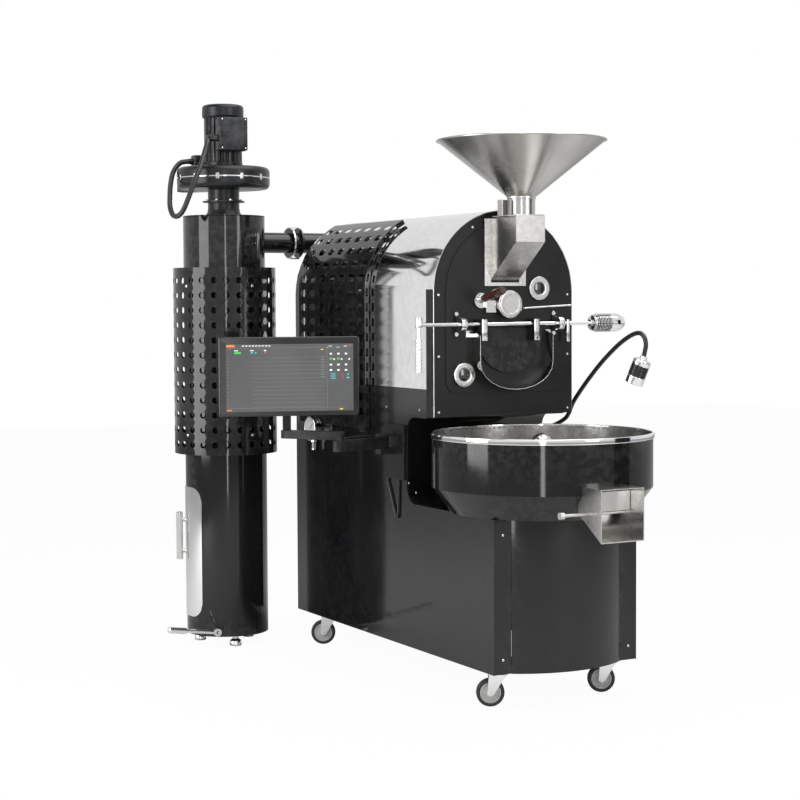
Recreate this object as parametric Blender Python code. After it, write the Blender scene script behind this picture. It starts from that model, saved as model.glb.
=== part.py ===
"""Drum coffee roaster with cooling bin, cyclone column and chaff blower, as separate pieces.

Metres, +Z up. The machine's front looks along -Y and its right side is +X.
While the pieces are made, x = 0 is the middle of the body, y = 0 the front plate and z = 0 the floor.
At the end an empty shifts the whole machine so that the origin is the middle of its footprint.
"""

import bmesh
import bpy
from math import atan2, cos, pi, radians, sin, sqrt
from mathutils import Matrix, Vector

# Clearances and shared sheet sizes
GAP = 0.0003
OVERRUN = 0.020
LAP = 0.001
SHEET = 0.003
QUARTER = pi / 2

# Body
BODY_WIDTH = 0.600
BODY_REAR = 1.172
CABINET_FRONT = 0.413
FLOOR_GAP = 0.125
FRAME_HEIGHT = 0.040
FRAME_RAIL = 0.090
FRAME_CROSS_Y = 0.500
SIDE_TOP = 1.096
DECK_TOP = 0.666
DECK_SHEET = 0.004
NOTCH_REAR = 0.209
NOTCH_TOP = 0.989
NOTCH_RADIUS = 0.060
STRIP_WIDTH = 0.070
FRONT_BULGE = 0.070

# Drum head
ARCH_CENTRE = 1.451
PLATE_BOTTOM = 0.995
PLATE_SHEET = 0.008
BAND_DEPTH = 0.056
BAND_SHEET = 0.010
FACE_SHEET = 0.004
FACE_INSET = 0.048
FACE_BOTTOM = 1.081
FACE_CORNER = 0.045
COVER_SHEET = 0.003
REAR_BAND_DEPTH = 0.080
GUARD_FRONT = 0.500
GUARD_BOTTOM = 0.925
GUARD_STANDOFF = 0.022
GUARD_SWEEP = radians(62)

# Roasting drum and its drive
DRUM_AXIS_Z = 1.406
DRUM_RADIUS = 0.232
DRUM_WALL = 0.006
DRUM_FRONT = 0.022
DRUM_LENGTH = 0.800
DRUM_BACK_WALL = 0.010
DRUM_SHAFT_RADIUS = 0.018
SHAFT_NOSE = 0.030
GEARBOX_SIZE = (0.150, 0.130, 0.170)
GEARBOX_GAP = 0.060
GEAR_MOTOR_RADIUS = 0.060
GEAR_MOTOR_LENGTH = 0.160
SPIDER_AT = 0.330
SPIDER_ARM = (0.026, 0.012)
BURNER_RADIUS = 0.020
BURNER_SPACING = 0.110
BURNER_FRONT = 0.120
BURNER_LENGTH = 0.620
BURNER_Z = 1.080
BURNER_POST = 0.024

# Front bearing cap, sight glasses and small fittings on the face
CAP_RADIUS = 0.051
CAP_DEPTH = 0.046
CAP_BORE_DEPTH = 0.034
CAP_STEP = 0.006
SIGHT_RADIUS = 0.0445
SIGHT_GLASS_RADIUS = 0.024
SIGHT_DEPTH = 0.012
UPPER_SIGHT = (0.146, 1.464)
LOWER_SIGHT = (-0.179, 1.149)
PROBE_RADIUS = 0.0035
PROBE_START = (0.064, 1.391)
PROBE_END_X = 0.272
PROBE_RISE = 0.010
PROBE_OUT = 0.030
PROBE_BOSS_RADIUS = 0.010

# Sampling trier
TRIER_AT = (-0.109, 1.420)
TRIER_TILT = radians(12)
TRIER_ROD_RADIUS = 0.009
TRIER_FLANGE_RADIUS = 0.0285
TRIER_FLANGE_DEPTH = 0.014
TRIER_SLEEVE_RADIUS = 0.014
TRIER_SLEEVE_LENGTH = 0.010
TRIER_INSIDE = 0.170
TRIER_GRIP_RADIUS = 0.0148
TRIER_GRIP_END_SHARE = 0.86
TRIER_GRIP_LENGTH = 0.138
TRIER_BLOCK = (0.042, 0.024, 0.044)
TRIER_PLAY = 0.0005
TRIER_FERRULE = 0.012

# Discharge door with its shaft
DOOR_SHAFT_Z = 1.334
DOOR_SHAFT_OUT = 0.038
DOOR_SHAFT_RADIUS = 0.0075
DOOR_SHAFT_LEFT = 0.383
DOOR_SHAFT_RIGHT = 0.352
DOOR_CENTRE = (0.015, 1.292)
DOOR_RADIUS = 0.140
DOOR_SHEET = 0.010
DOOR_OPENING_RADIUS = 0.118
CLAMP_X = (-0.116, 0.110)
CLAMP_WIDTH = 0.024
CLAMP_TOP = 0.018
CLAMP_DROP = 0.062
CLAMP_FRONT = 0.014
BRACKET_X = (-0.204, 0.217)
BRACKET_HEIGHT = 0.094
BRACKET_WIDTH = 0.024
BRACKET_SHEET = 0.005
BRACKET_RING_RADIUS = 0.026
BRACKET_RING_LENGTH = 0.020
RING_PLAY = 0.0006
LATCH_X = 0.253
LATCH_WIDTH = 0.014
LATCH_DROP = 0.084
LATCH_DEPTH = 0.010
LEVER_RADIUS = 0.0125
LEVER_ROD_RADIUS = 0.008
LEVER_TOP = 0.026
LEVER_DROP = 0.172
LEVER_FINS = 9
LEVER_BOSS_DROP = 0.004
LEVER_NECK_DROP = 0.049
FIN_SHARES = (0.35, 0.70)
HANDLE_RADIUS = 0.035
HANDLE_CORE_RADIUS = 0.028
HANDLE_FINS_LENGTH = 0.074
HANDLE_FINS = 11
HANDLE_NECK_RADIUS = 0.014
HANDLE_NECK = 0.009
HANDLE_DOME_LENGTH = 0.078
HANDLE_DOME_SHARE = 0.30

# Discharge chute around the door
CHUTE_CENTRE_X = 0.015
CHUTE_HALF_WIDTH = 0.158
CHUTE_TOP_RISE = 0.020
CHUTE_BEND_DROP = 0.080
CHUTE_CURVE_HEIGHT = 0.100
CHUTE_DEPTH = 0.062
CHUTE_DIP = 0.020
CHUTE_SHEET = 0.002
CHUTE_TAB = 0.026

# Feed hopper, feed box and slide gate
HOPPER_CENTRE = (-0.002, -0.123)
HOPPER_HEIGHT = 0.278
HOPPER_RIM_RADIUS = 0.310
HOPPER_THROAT_HEIGHT = 0.070
HOPPER_THROAT_RADIUS = 0.050
HOPPER_SHEET = 0.003
HOPPER_RIM_ROLL = 0.007
BOX_WIDTH = 0.122
BOX_DEPTH = 0.124
BOX_FOOT_RISE = 0.041
BOX_FOOT_HEIGHT = 0.083
BOX_BREAK_RISE = 0.138
BOX_HEIGHT = 0.230
BOX_SHEET = 0.003
GATE_SHEET = 0.003
GATE_TAB = 0.030
FEED_FRAME_HALF = 0.089
FEED_FRAME_BELOW = 0.019
FEED_FRAME_LOWER = 0.002
FEED_FRAME_SHEET = 0.006
HOPPER_PLATE_SHEET = 0.004
HOPPER_PLATE_HEIGHT = 0.064

# Cooling bin
BIN_CENTRE_Y = -0.252
BIN_RADIUS = 0.401
BIN_RIM_Z = 0.951
BIN_RIM_HEIGHT = 0.021
BIN_RIM_WALL = 0.008
BIN_WALL_BOTTOM = 0.757
BIN_FOOT_RADIUS = 0.330
BIN_SHEET = 0.004
BIN_FLOOR_Z = 0.704
BIN_FLOOR_SHEET = 0.004
FLOOR_PLAY = 0.0010
HUB_RADIUS = 0.038
HUB_TOP = 0.944
HUB_NECK_RADIUS = 0.026
AGITATOR_SHAFT_RADIUS = 0.012
ARM_COUNT = 4
ARM_HEIGHT = 0.012
ARM_WIDTH = 0.016
PADDLE_SHEET = 0.004
ARM_Z = 0.800
STIR_CLEARANCE = 0.008
PADDLE_SHARE = 0.36
PADDLE_START_SHARES = (0.62, 0.35)
STIR_MOTOR_RADIUS = 0.060
STIR_MOTOR_LENGTH = 0.190
STIR_GEARBOX = 0.130
STIR_GEARBOX_HEIGHT = 0.090

# Bin outlet with its gate
OUTLET_HALF_WIDTH = 0.088
OUTLET_FRONT = 0.750
OUTLET_TOP = 0.788
OUTLET_FRONT_BOTTOM = 0.607
OUTLET_BACK_BOTTOM = 0.697
OUTLET_SHEET = 0.003
OUTLET_HOLE_HALF = 0.066
OUTLET_REACH = 0.040
GATE_PLAY = 0.0015
OUTLET_HOLE_BOTTOM = 0.712
OUTLET_HOLE_TOP = 0.768
FLAP_SHAFT_RADIUS = 0.006
FLAP_SHAFT_Y = 0.672
FLAP_SHAFT_Z = 0.700
FLAP_SHEET = 0.004
FLAP_HEIGHT = 0.072
FLAP_KNOB_X = 0.186
FLAP_KNOB_RADIUS = 0.013
FLAP_KNOB_LENGTH = 0.016

# Casters
CASTER_INSET = 0.065
CASTER_FRONT_Y = -0.345
CASTER_REAR_Y = 0.985
WHEEL_RADIUS = 0.050
WHEEL_WIDTH = 0.032
HUB_WHEEL_RADIUS = 0.030
HUB_DISH = 0.004
AXLE_RADIUS = 0.006
CASTER_TRAIL = 0.034
CASTER_TURN = radians(152)
FORK_SHEET = 0.0035
FORK_GAP = 0.003
FORK_WIDTH = 0.036
CASTER_PLATE_RADIUS = 0.032
CASTER_PLATE = 0.008

# Work lamp on a gooseneck
LAMP_BASE_Y = 0.238
LAMP_BASE_Z = 0.915
LAMP_BASE_RADIUS = 0.022
LAMP_BASE_DEPTH = 0.018
LAMP_TUBE_RADIUS = 0.0085
LAMP_SOCKET_RADIUS = 0.0128
LAMP_ROUTE = (
    (0.018, 0.238, 0.915), (0.034, 0.234, 0.917), (0.042, 0.214, 0.926), (0.042, 0.104, 0.968),
    (0.041, 0.052, 1.030), (0.040, -0.006, 1.083), (0.040, -0.066, 1.133), (0.040, -0.130, 1.182),
    (0.040, -0.196, 1.226), (0.040, -0.262, 1.264), (0.040, -0.325, 1.291), (0.040, -0.372, 1.300),
    (0.040, -0.402, 1.288), (0.040, -0.414, 1.262), (0.040, -0.408, 1.234), (0.040, -0.397, 1.207),
)
LAMP_STEPS = 26
LAMP_AIM_SHARES = (-0.2, 0.3, -0.9)
LAMP_HEAD_RADIUS = 0.033
LAMP_HEAD_LENGTH = 0.095
LAMP_HEAD_CUP = 0.012

# Screen on its folding arm
ARM_Z_LEVEL = 0.890
WALL_PLATE_Y = 0.290
WALL_PLATE_SIZE = (0.147, 0.207)
WALL_PLATE_RISE = 0.067
WALL_PLATE_SHEET = 0.010
ARM_BLOCK = 0.044
ARM_PIVOT_OUT = 0.046
ARM_PIN_RADIUS = 0.010
LINK_HEIGHT = 0.044
ARM_KNUCKLE_RADIUS = 0.022
ARM_ELBOW = (-0.575, 0.225)
SCREEN_CENTRE = (-0.735, 0.300, 1.146)
SCREEN_SIZE = (0.514, 0.290)
SCREEN_DEPTH = 0.034
SCREEN_YAW = radians(-18)
SCREEN_CORNER = 0.008
SCREEN_PIVOT_BACK = 0.105
SCREEN_BOSS = (0.100, 0.100, 0.016)
RISER_SECTION = 0.030
TILT_PIN_RADIUS = 0.007
TILT_FORK = 0.044
TILT_PLAY = 0.0012

# Cyclone column
COLUMN_AT = (-0.578, 1.272)
COLUMN_RADIUS = 0.169
COLUMN_WALL = 0.003
COLUMN_BOTTOM = 0.045
COLUMN_TOP = 1.774
COLUMN_FOOT_RADIUS = 0.024
COLUMN_FOOT_RING = 0.120
COLUMN_FOOT_TURNS = (radians(262), radians(22), radians(142))
COLUMN_DOOR_FACING = radians(165)
COLUMN_DOOR_HALF = radians(45)
COLUMN_DOOR_Z = (0.120, 0.656)
COLUMN_DOOR_SHEET = 0.003
COLUMN_DOOR_CORNER_SHARE = 0.22
COLUMN_HANDLE_Z = (0.350, 0.550)
COLUMN_HANDLE_RADIUS = 0.014
COLUMN_HANDLE_OUT = 0.026
COLUMN_GUARD_RADIUS = 0.212
COLUMN_GUARD_Z = (0.795, 1.560)
COLUMN_GUARD_FACING = radians(235)
COLUMN_GUARD_HALF = radians(105)
COLUMN_GUARD_SHEET = 0.003
HATCH_HALF = radians(36)
HATCH_MARGIN = 0.030

# Lift lever at the foot of the column
LEVER_PIVOT = (-0.700, 1.095, 0.072)
PEDAL_LENGTH = 0.215
PEDAL_RADIUS = 0.008
PEDAL_GRIP_RADIUS = 0.0135
PEDAL_GRIP_LENGTH = 0.080
PEDAL_RISE = radians(8)
PEDAL_EYE_RADIUS = 0.016
PEDAL_EYE_WIDTH = 0.016

# Blower on the column
NECK_FOOT_RADIUS = 0.050
NECK_FLARE_RADIUS = 0.075
NECK_FLARE_HEIGHT = 0.032
NECK_FLANGE_RADIUS = 0.087
NECK_FLANGE = 0.006
NECK_RADIUS = 0.065
VOLUTE_RADIUS = 0.192
VOLUTE_BOTTOM = 1.884
VOLUTE_HEIGHT = 0.092
VOLUTE_SHEET = 0.004
VOLUTE_CORNER = 0.028
VOLUTE_OUTLET = (0.080, 0.070)
VOLUTE_OUTLET_LENGTH = 0.070
VOLUTE_COVER_RADIUS = 0.135
VOLUTE_COVER = 0.006
CABLE_BOX = (0.045, 0.045, 0.060)
CABLE_BOX_AT = (-0.6525, 1.3675)
CABLE_ENTRY_RISE = 0.034
VOLUTE_OUTLET_TURN = radians(45)
IMPELLER_RADIUS = 0.140
IMPELLER_HEIGHT = 0.052
IMPELLER_SHEET = 0.004
IMPELLER_BLADES = 8
IMPELLER_SHAFT_RADIUS = 0.012
MOTOR_FLANGE_RADIUS = 0.080
MOTOR_FLANGE = 0.020
MOTOR_RADIUS = 0.078
MOTOR_LENGTH = 0.180
MOTOR_CAP_RADIUS = 0.086
MOTOR_CAP_LENGTH = 0.056
MOTOR_FIN_COUNT = 20
MOTOR_FIN = 0.007
MOTOR_FIN_SHARES = (0.30, 0.12)
BOX_TERMINAL = (0.120, 0.060, 0.136)
TERMINAL_RISE = 0.018
GLAND_RADIUS = 0.014
GLAND_LENGTH = 0.020
GLAND_DEPTH_SHARE = 0.25
TERMINAL_TURN = radians(266)

# Exhaust duct from the drum head to the column
DUCT_RADIUS = 0.043
DUCT_WALL = 0.002
DUCT_Z = 1.667
DUCT_BEND = 0.062
DUCT_END_X = -0.060
DUCT_FLANGE_RADIUS = 0.063
DUCT_FLANGE = 0.008
DUCT_FLANGE_X = (-0.280, -0.240)

# Cables, hand-placed from their glands on
MOTOR_CABLE_RADIUS = 0.0105
MOTOR_CABLE_POINTS = 26
MOTOR_CABLE_ROUTE = (
    (-0.7000, 1.1450, 2.0660), (-0.7150, 1.1350, 2.0300), (-0.7460, 1.1100, 1.9650), (-0.7820, 1.0950, 1.8934),
    (-0.8100, 1.0950, 1.8250), (-0.8270, 1.1050, 1.7830), (-0.8400, 1.1300, 1.7640), (-0.8480, 1.1600, 1.7720),
    (-0.8450, 1.1950, 1.8050), (-0.8300, 1.2350, 1.8480), (-0.8050, 1.2900, 1.9000), (-0.7700, 1.3480, 1.9560),
    (-0.7300, 1.3720, 1.9960),
)
SCREEN_CABLE_RADIUS = 0.0040
SCREEN_CABLE_POINTS = 20
SCREEN_CABLE_ROUTE = (
    (0, 0.3480, 0.7330), (0, 0.3330, 0.7060), (0, 0.3130, 0.6630), (0, 0.2930, 0.6220), (0, 0.2800, 0.6060),
    (0, 0.2710, 0.6120), (0, 0.2680, 0.6400), (0, 0.2660, 0.6900), (0, 0.2640, 0.7300),
)

# How finely round shapes are divided
STEPS_LARGE = 36
STEPS = 24
STEPS_ROUND = 16
STEPS_SMALL = 12
STEPS_TINY = 8


# Helpers: materials, shapes and named pieces

def finish(name, colour, roughness, metallic=0.0):
    """A plain surface: colour, roughness and how metallic it is."""
    look = bpy.data.materials.new(name)
    look.use_nodes = True
    shader = look.node_tree.nodes["Principled BSDF"]
    shader.inputs["Base Color"].default_value = (*colour, 1)
    shader.inputs["Roughness"].default_value = roughness
    shader.inputs["Metallic"].default_value = metallic
    look.diffuse_color = (*colour, 1)
    return look


def clear_scene():
    """Remove whatever the file starts with."""
    for thing in list(bpy.data.objects):
        bpy.data.objects.remove(thing, do_unlink=True)


def shifted(x=0, y=0, z=0):
    """Matrix that moves a shape."""
    return Matrix.Translation((x, y, z))


def facing(direction, place):
    """Matrix that turns a shape's Z axis to a direction and moves it to a place."""
    turn = Vector(direction).to_track_quat("Z", "Y").to_matrix().to_4x4()
    return Matrix.Translation(place) @ turn


def plan_front(y=0):
    """Matrix for an outline drawn in X and Z: its depth runs towards the front, -Y."""
    return Matrix.Translation((0, y, 0)) @ Matrix.Rotation(QUARTER, 4, "X")


def plan_side(x=0):
    """Matrix for an outline drawn in Y and Z: its depth runs along +X."""
    turn = Matrix.Rotation(QUARTER, 4, "Z") @ Matrix.Rotation(QUARTER, 4, "X")
    return Matrix.Translation((x, 0, 0)) @ turn


def along_y(x, z, y=0):
    """Matrix that lays a turned shape's axis along +Y."""
    return Matrix.Translation((x, y, z)) @ Matrix.Rotation(-QUARTER, 4, "X")


def along_x(y, z, x=0):
    """Matrix that lays a turned shape's axis along +X."""
    return Matrix.Translation((x, y, z)) @ Matrix.Rotation(QUARTER, 4, "Y")


def arc(centre, radius, start, end, steps):
    """Points of an arc, both ends included."""
    turns = [start + (end - start) * i / steps for i in range(steps + 1)]
    return [(centre[0] + radius * cos(t), centre[1] + radius * sin(t)) for t in turns]


def slab(outline, low, high, at=Matrix(), holes=()):
    """Flat closed solid between two heights, with through holes."""
    def build(bm):
        loops = [[bm.verts.new((x, y, low)) for x, y in loop] for loop in (outline, *holes)]
        made = [v for loop in loops for v in loop]
        if holes:
            edges = [bm.edges.new(pair) for loop in loops for pair in zip(loop, loop[1:] + loop[:1])]
            filled = bmesh.ops.triangle_fill(bm, edges=edges, use_beauty=True)["geom"]
            faces = [f for f in filled if isinstance(f, bmesh.types.BMFace)]
        else:
            faces = [bm.faces.new(loops[0])]
        grown = bmesh.ops.extrude_face_region(bm, geom=faces)["geom"]
        raised = [v for v in grown if isinstance(v, bmesh.types.BMVert)]
        bmesh.ops.translate(bm, vec=(0, 0, high - low), verts=raised)
        bmesh.ops.transform(bm, matrix=at, verts=made + raised)
    return build


def block(low, high, at=Matrix()):
    """Box between two corners."""
    (x0, y0, z0), (x1, y1, z1) = low, high
    return slab([(x0, y0), (x1, y0), (x1, y1), (x0, y1)], z0, z1, at)


def turned(profile, steps, at=Matrix()):
    """Solid turned about Z from a closed loop of (radius, height) points."""
    def build(bm):
        rings = []
        made = []
        for radius, height in profile:
            count = steps if radius > 0 else 1
            ring = [bm.verts.new((radius * cos(2 * pi * i / steps), radius * sin(2 * pi * i / steps), height))
                    for i in range(count)]
            made += ring
            rings.append(ring * (steps // count))
        for near, far in zip(rings, rings[1:] + rings[:1]):
            for i in range(steps):
                j = (i + 1) % steps
                corners = list(dict.fromkeys((near[i], near[j], far[j], far[i])))
                if len(corners) > 2:
                    bm.faces.new(corners)
        bmesh.ops.transform(bm, matrix=at, verts=made)
    return build


def rod(radius, low, high, at=Matrix(), steps=STEPS_SMALL):
    """Plain round bar along Z."""
    return turned([(0, low), (radius, low), (radius, high), (0, high)], steps, at)


def sleeve(outer, inner, low, high, at=Matrix(), steps=STEPS):
    """Round bar with a bore along Z."""
    return turned([(outer, low), (outer, high), (inner, high), (inner, low)], steps, at)


def bore_for(radius, steps=STEPS_SMALL, play=GAP):
    """Radius of a faceted bore that a round shaft turns in freely."""
    return (radius + play) / cos(pi / steps)


def frames_along(points):
    """Position and two cross directions at each point of a path, without twist."""
    path = [Vector(p) for p in points]
    ways = [(b - a).normalized() for a, b in zip(path, path[1:])]
    ways = [ways[0]] + [(a + b).normalized() for a, b in zip(ways, ways[1:])] + [ways[-1]]
    side = ways[0].orthogonal().normalized()
    frames = []
    for place, way in zip(path, ways):
        side = (side - way * side.dot(way)).normalized()
        frames.append((place, side, way.cross(side)))
    return frames


def pipe(points, radius, sides, bore=0):
    """Tube along a path, solid or with a bore."""
    def build(bm):
        frames = frames_along(points)
        turns = [2 * pi * i / sides for i in range(sides)]

        def loops(size):
            return [[bm.verts.new(place + (u * cos(t) + v * sin(t)) * size) for t in turns]
                    for place, u, v in frames]

        def skin(near, far):
            for i in range(sides):
                j = (i + 1) % sides
                bm.faces.new((near[i], near[j], far[j], far[i]))

        outer = loops(radius)
        for near, far in zip(outer, outer[1:]):
            skin(near, far)
        if bore:
            inner = loops(bore)
            for near, far in zip(inner, inner[1:]):
                skin(near, far)
            skin(outer[0], inner[0])
            skin(outer[-1], inner[-1])
        else:
            bm.faces.new(outer[0])
            bm.faces.new(outer[-1])
    return build


def sheared(shape, low_rise):
    """The same shape with Z changed in step with Y."""
    def build(bm):
        before = set(bm.verts)
        shape(bm)
        lean = Matrix()
        lean[2][1] = low_rise
        bmesh.ops.transform(bm, matrix=lean, verts=[v for v in bm.verts if v not in before])
    return build


def mesh_of(name, shapes, pivot):
    """One mesh from closed shapes, with its origin on the pivot and its faces pointing out."""
    bm = bmesh.new()
    for shape in shapes:
        shape(bm)
    bmesh.ops.translate(bm, vec=-Vector(pivot), verts=bm.verts)
    bmesh.ops.recalc_face_normals(bm, faces=bm.faces)
    mesh = bpy.data.meshes.new(name)
    bm.to_mesh(mesh)
    bm.free()
    mesh.shade_smooth()
    mesh.set_sharp_from_angle(angle=radians(32))
    return mesh


def guide(name, shapes, pivot):
    """Hidden shape that a Boolean uses."""
    made = bpy.data.objects.new(name, mesh_of(name, shapes, pivot))
    made.hide_render = True
    made.display_type = "WIRE"
    return made


def piece(name, look, shape, joins=(), cuts=(), keeps=(), pivot=(0, 0, 0)):
    """One named part: a shape, what is joined to it, what is cut from it and what bounds it."""
    made = bpy.data.objects.new(name, mesh_of(name, [shape], pivot))
    made.data.materials.append(look)
    made.location = pivot
    made.parent = ORIGIN
    bpy.context.collection.objects.link(made)
    for kind, groups in (("UNION", joins), ("INTERSECT", keeps), ("DIFFERENCE", cuts)):
        for i, shapes in enumerate(groups):
            shapes = shapes if isinstance(shapes, (list, tuple)) else (shapes,)
            tool = guide(f"{name}_{kind.lower()}_{i}", shapes, pivot)
            tool.location = pivot
            tool.parent = ORIGIN
            bpy.context.collection.objects.link(tool)
            step = made.modifiers.new(tool.name, "BOOLEAN")
            step.operation = kind
            step.solver = "EXACT"
            step.object = tool
    return made


def cable(name, look, points, radius, count):
    """Round cable on a smooth curve through hand-chosen points, with a straight stretch at each end."""
    path = [Vector(points[0]), *smooth_path(points[1:-1], count), Vector(points[-1])]
    curve = bpy.data.curves.new(name, "CURVE")
    curve.dimensions = "3D"
    curve.bevel_depth = radius
    curve.bevel_resolution = 2
    curve.use_fill_caps = True
    line = curve.splines.new("POLY")
    line.points.add(len(path) - 1)
    for spot, place in zip(line.points, path):
        spot.co = (*place, 1)
    made = bpy.data.objects.new(name, curve)
    made.data.materials.append(look)
    made.parent = ORIGIN
    bpy.context.collection.objects.link(made)
    return made


def smooth_path(points, count):
    """Evenly counted points on a smooth curve through the given ones."""
    spots = [Vector(p) for p in points]
    spots = [spots[0] * 2 - spots[1]] + spots + [spots[-1] * 2 - spots[-2]]
    spans = len(points) - 1
    path = []
    for i in range(count):
        place = i * spans / (count - 1)
        k = min(int(place), spans - 1)
        t = place - k
        a, b, c, d = spots[k:k + 4]
        path.append(0.5 * (2 * b + (c - a) * t + (2 * a - 5 * b + 4 * c - d) * t ** 2
                           + (3 * b - a - 3 * c + d) * t ** 3))
    return path


# Values worked out from the driving sizes

HALF = BODY_WIDTH / 2
INSIDE = HALF - SHEET - GAP
FACE = -FACE_SHEET - GAP
FACE_HALF = HALF - FACE_INSET
BOX_FOOT_BOTTOM = ARCH_CENTRE + BOX_FOOT_RISE
BOX_FOOT_TOP = BOX_FOOT_BOTTOM + BOX_FOOT_HEIGHT
BOX_BREAK = BOX_FOOT_BOTTOM + BOX_BREAK_RISE
BOX_TOP = BOX_FOOT_BOTTOM + BOX_HEIGHT
HOPPER_THROAT_Z = BOX_TOP + HOPPER_THROAT_HEIGHT
HOPPER_RIM_Z = BOX_TOP + HOPPER_HEIGHT
CHUTE_TOP = DOOR_CENTRE[1] + CHUTE_TOP_RISE
CHUTE_BEND = DOOR_CENTRE[1] - CHUTE_BEND_DROP
CHUTE_BOTTOM = CHUTE_BEND - CHUTE_CURVE_HEIGHT
CASTER_X = HALF - CASTER_INSET
COVER_FRONT = BAND_DEPTH + GAP
COVER_REAR = BODY_REAR - REAR_BAND_DEPTH - GAP
COVER_BOTTOM = SIDE_TOP + GAP
DECK_BOTTOM = DECK_TOP - DECK_SHEET
BIN_WALL = BIN_RADIUS - BIN_RIM_WALL / 2
DOOR_SHAFT = (0, -DOOR_SHAFT_OUT, DOOR_SHAFT_Z)
SCREEN_BACK = Vector((-sin(SCREEN_YAW), cos(SCREEN_YAW), 0))
SCREEN_SIDE = Vector((cos(SCREEN_YAW), sin(SCREEN_YAW), 0))
COLUMN_X, COLUMN_Y = COLUMN_AT


def arch_outline(half, bottom, corner=0, steps=STEPS_SMALL):
    """Outline of a plate with a round top, drawn in X and Z, with optional round bottom corners."""
    if corner:
        left = arc((corner - half, bottom + corner), corner, pi * 3 / 2, pi, steps // 4)
        right = arc((half - corner, bottom + corner), corner, 0, -QUARTER, steps // 4)
    else:
        left = [(-half, bottom)]
        right = [(half, bottom)]
    return left + arc((0, ARCH_CENTRE), half, pi, 0, steps) + right


def arch_ring(outer, inner, bottom, steps=STEPS_SMALL * 2):
    """Outline of an arch-shaped sheet seen from its end."""
    outside = [(-outer, bottom)] + arc((0, ARCH_CENTRE), outer, pi, 0, steps) + [(outer, bottom)]
    inside = [(inner, bottom)] + arc((0, ARCH_CENTRE), inner, 0, pi, steps) + [(-inner, bottom)]
    return outside + inside


def cone_radius(z, wall=0):
    """Radius of the bin's lower cone at a height."""
    share = (z - DECK_TOP) / (BIN_WALL_BOTTOM - DECK_TOP)
    return BIN_FOOT_RADIUS + (BIN_WALL - BIN_FOOT_RADIUS) * share - wall


def column_side(z):
    """Place of the column's axis at a height."""
    return Vector((COLUMN_X, COLUMN_Y, z))


def column_way(turn):
    """Level direction from the column's axis."""
    return Vector((cos(turn), sin(turn), 0))


# Cabinet

def base_frame():
    length = (BODY_REAR - SHEET - GAP, SHEET + LAP + GAP - CABINET_FRONT)
    outline = [(-INSIDE, length[1]), (INSIDE, length[1]), (INSIDE, length[0]), (-INSIDE, length[0])]
    bars = (length[1], FRAME_CROSS_Y, length[0])
    rooms = []
    for i, (near, far) in enumerate(zip(bars, bars[1:])):
        low = near + (FRAME_RAIL if i == 0 else FRAME_RAIL / 2)
        high = far - (FRAME_RAIL if i == 1 else FRAME_RAIL / 2)
        inner = INSIDE - FRAME_RAIL
        rooms.append([(-inner, low), (inner, low), (inner, high), (-inner, high)])
    piece("base_frame", FRAME_STEEL, slab(outline, FLOOR_GAP, FLOOR_GAP + FRAME_HEIGHT, holes=rooms))


def notch_path(grow):
    """Front of the cabinet seen from the side: level deck, round bend, rear wall, round bend and lip."""
    radius = NOTCH_RADIUS + grow
    lower = arc((NOTCH_REAR - NOTCH_RADIUS, DECK_TOP + NOTCH_RADIUS), radius, -QUARTER, 0, STEPS_SMALL // 2)
    upper = arc((NOTCH_REAR - NOTCH_RADIUS, NOTCH_TOP - NOTCH_RADIUS), radius, 0, QUARTER, STEPS_SMALL // 2)
    return lower + upper


def side_panel(name, side):
    rear = BODY_REAR - SHEET - GAP
    front = -CABINET_FRONT
    outline = ([(front, FLOOR_GAP), (front, DECK_TOP)] + notch_path(0)
               + [(COVER_FRONT, NOTCH_TOP), (COVER_FRONT, SIDE_TOP), (rear, SIDE_TOP), (rear, FLOOR_GAP)])
    inner = HALF - SHEET
    low, high = (inner, HALF) if side > 0 else (-HALF, -inner)
    near, far = HALF - STRIP_WIDTH, inner + LAP
    strip = (near, far) if side > 0 else (-far, -near)
    inset = front + LAP / 2
    piece(name, BLACK_GLOSS, slab(outline, low, high, plan_side()),
          joins=[block((strip[0], inset, FLOOR_GAP + LAP), (strip[1], inset + SHEET, DECK_BOTTOM - GAP))])


def front_bulge(grow, half):
    """Arc of the bowed front panel seen from above, from its left end to its right."""
    chord = HALF - STRIP_WIDTH - GAP
    radius = (chord ** 2 + FRONT_BULGE ** 2) / (2 * FRONT_BULGE)
    reach = atan2(half, radius - FRONT_BULGE)
    centre = (0, radius - FRONT_BULGE - CABINET_FRONT)
    return arc(centre, radius - grow, -QUARTER - reach, -QUARTER + reach, STEPS_SMALL)


def front_panel():
    chord = HALF - STRIP_WIDTH - GAP
    outline = front_bulge(0, chord) + front_bulge(SHEET, chord)[::-1]
    piece("front_panel", BLACK_GLOSS, slab(outline, FLOOR_GAP, DECK_BOTTOM - GAP))


def cabinet_deck():
    front = -CABINET_FRONT
    outline = ([(front, DECK_BOTTOM), (front, DECK_TOP)] + notch_path(0)
               + [(COVER_FRONT, NOTCH_TOP), (COVER_FRONT, NOTCH_TOP + DECK_SHEET)]
               + notch_path(DECK_SHEET)[::-1])
    chord = HALF - STRIP_WIDTH - GAP
    lip = front_bulge(0, chord) + [(chord, front + OVERRUN), (-chord, front + OVERRUN)]
    air_hole = rod(BIN_FOOT_RADIUS / 2, DECK_BOTTOM - OVERRUN, DECK_TOP + OVERRUN,
                   shifted(y=BIN_CENTRE_Y), STEPS)
    piece("cabinet_deck", BLACK_GLOSS, slab(outline, -INSIDE, INSIDE, plan_side()),
          joins=[slab(lip, DECK_BOTTOM, DECK_TOP)], cuts=[air_hole])


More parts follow.
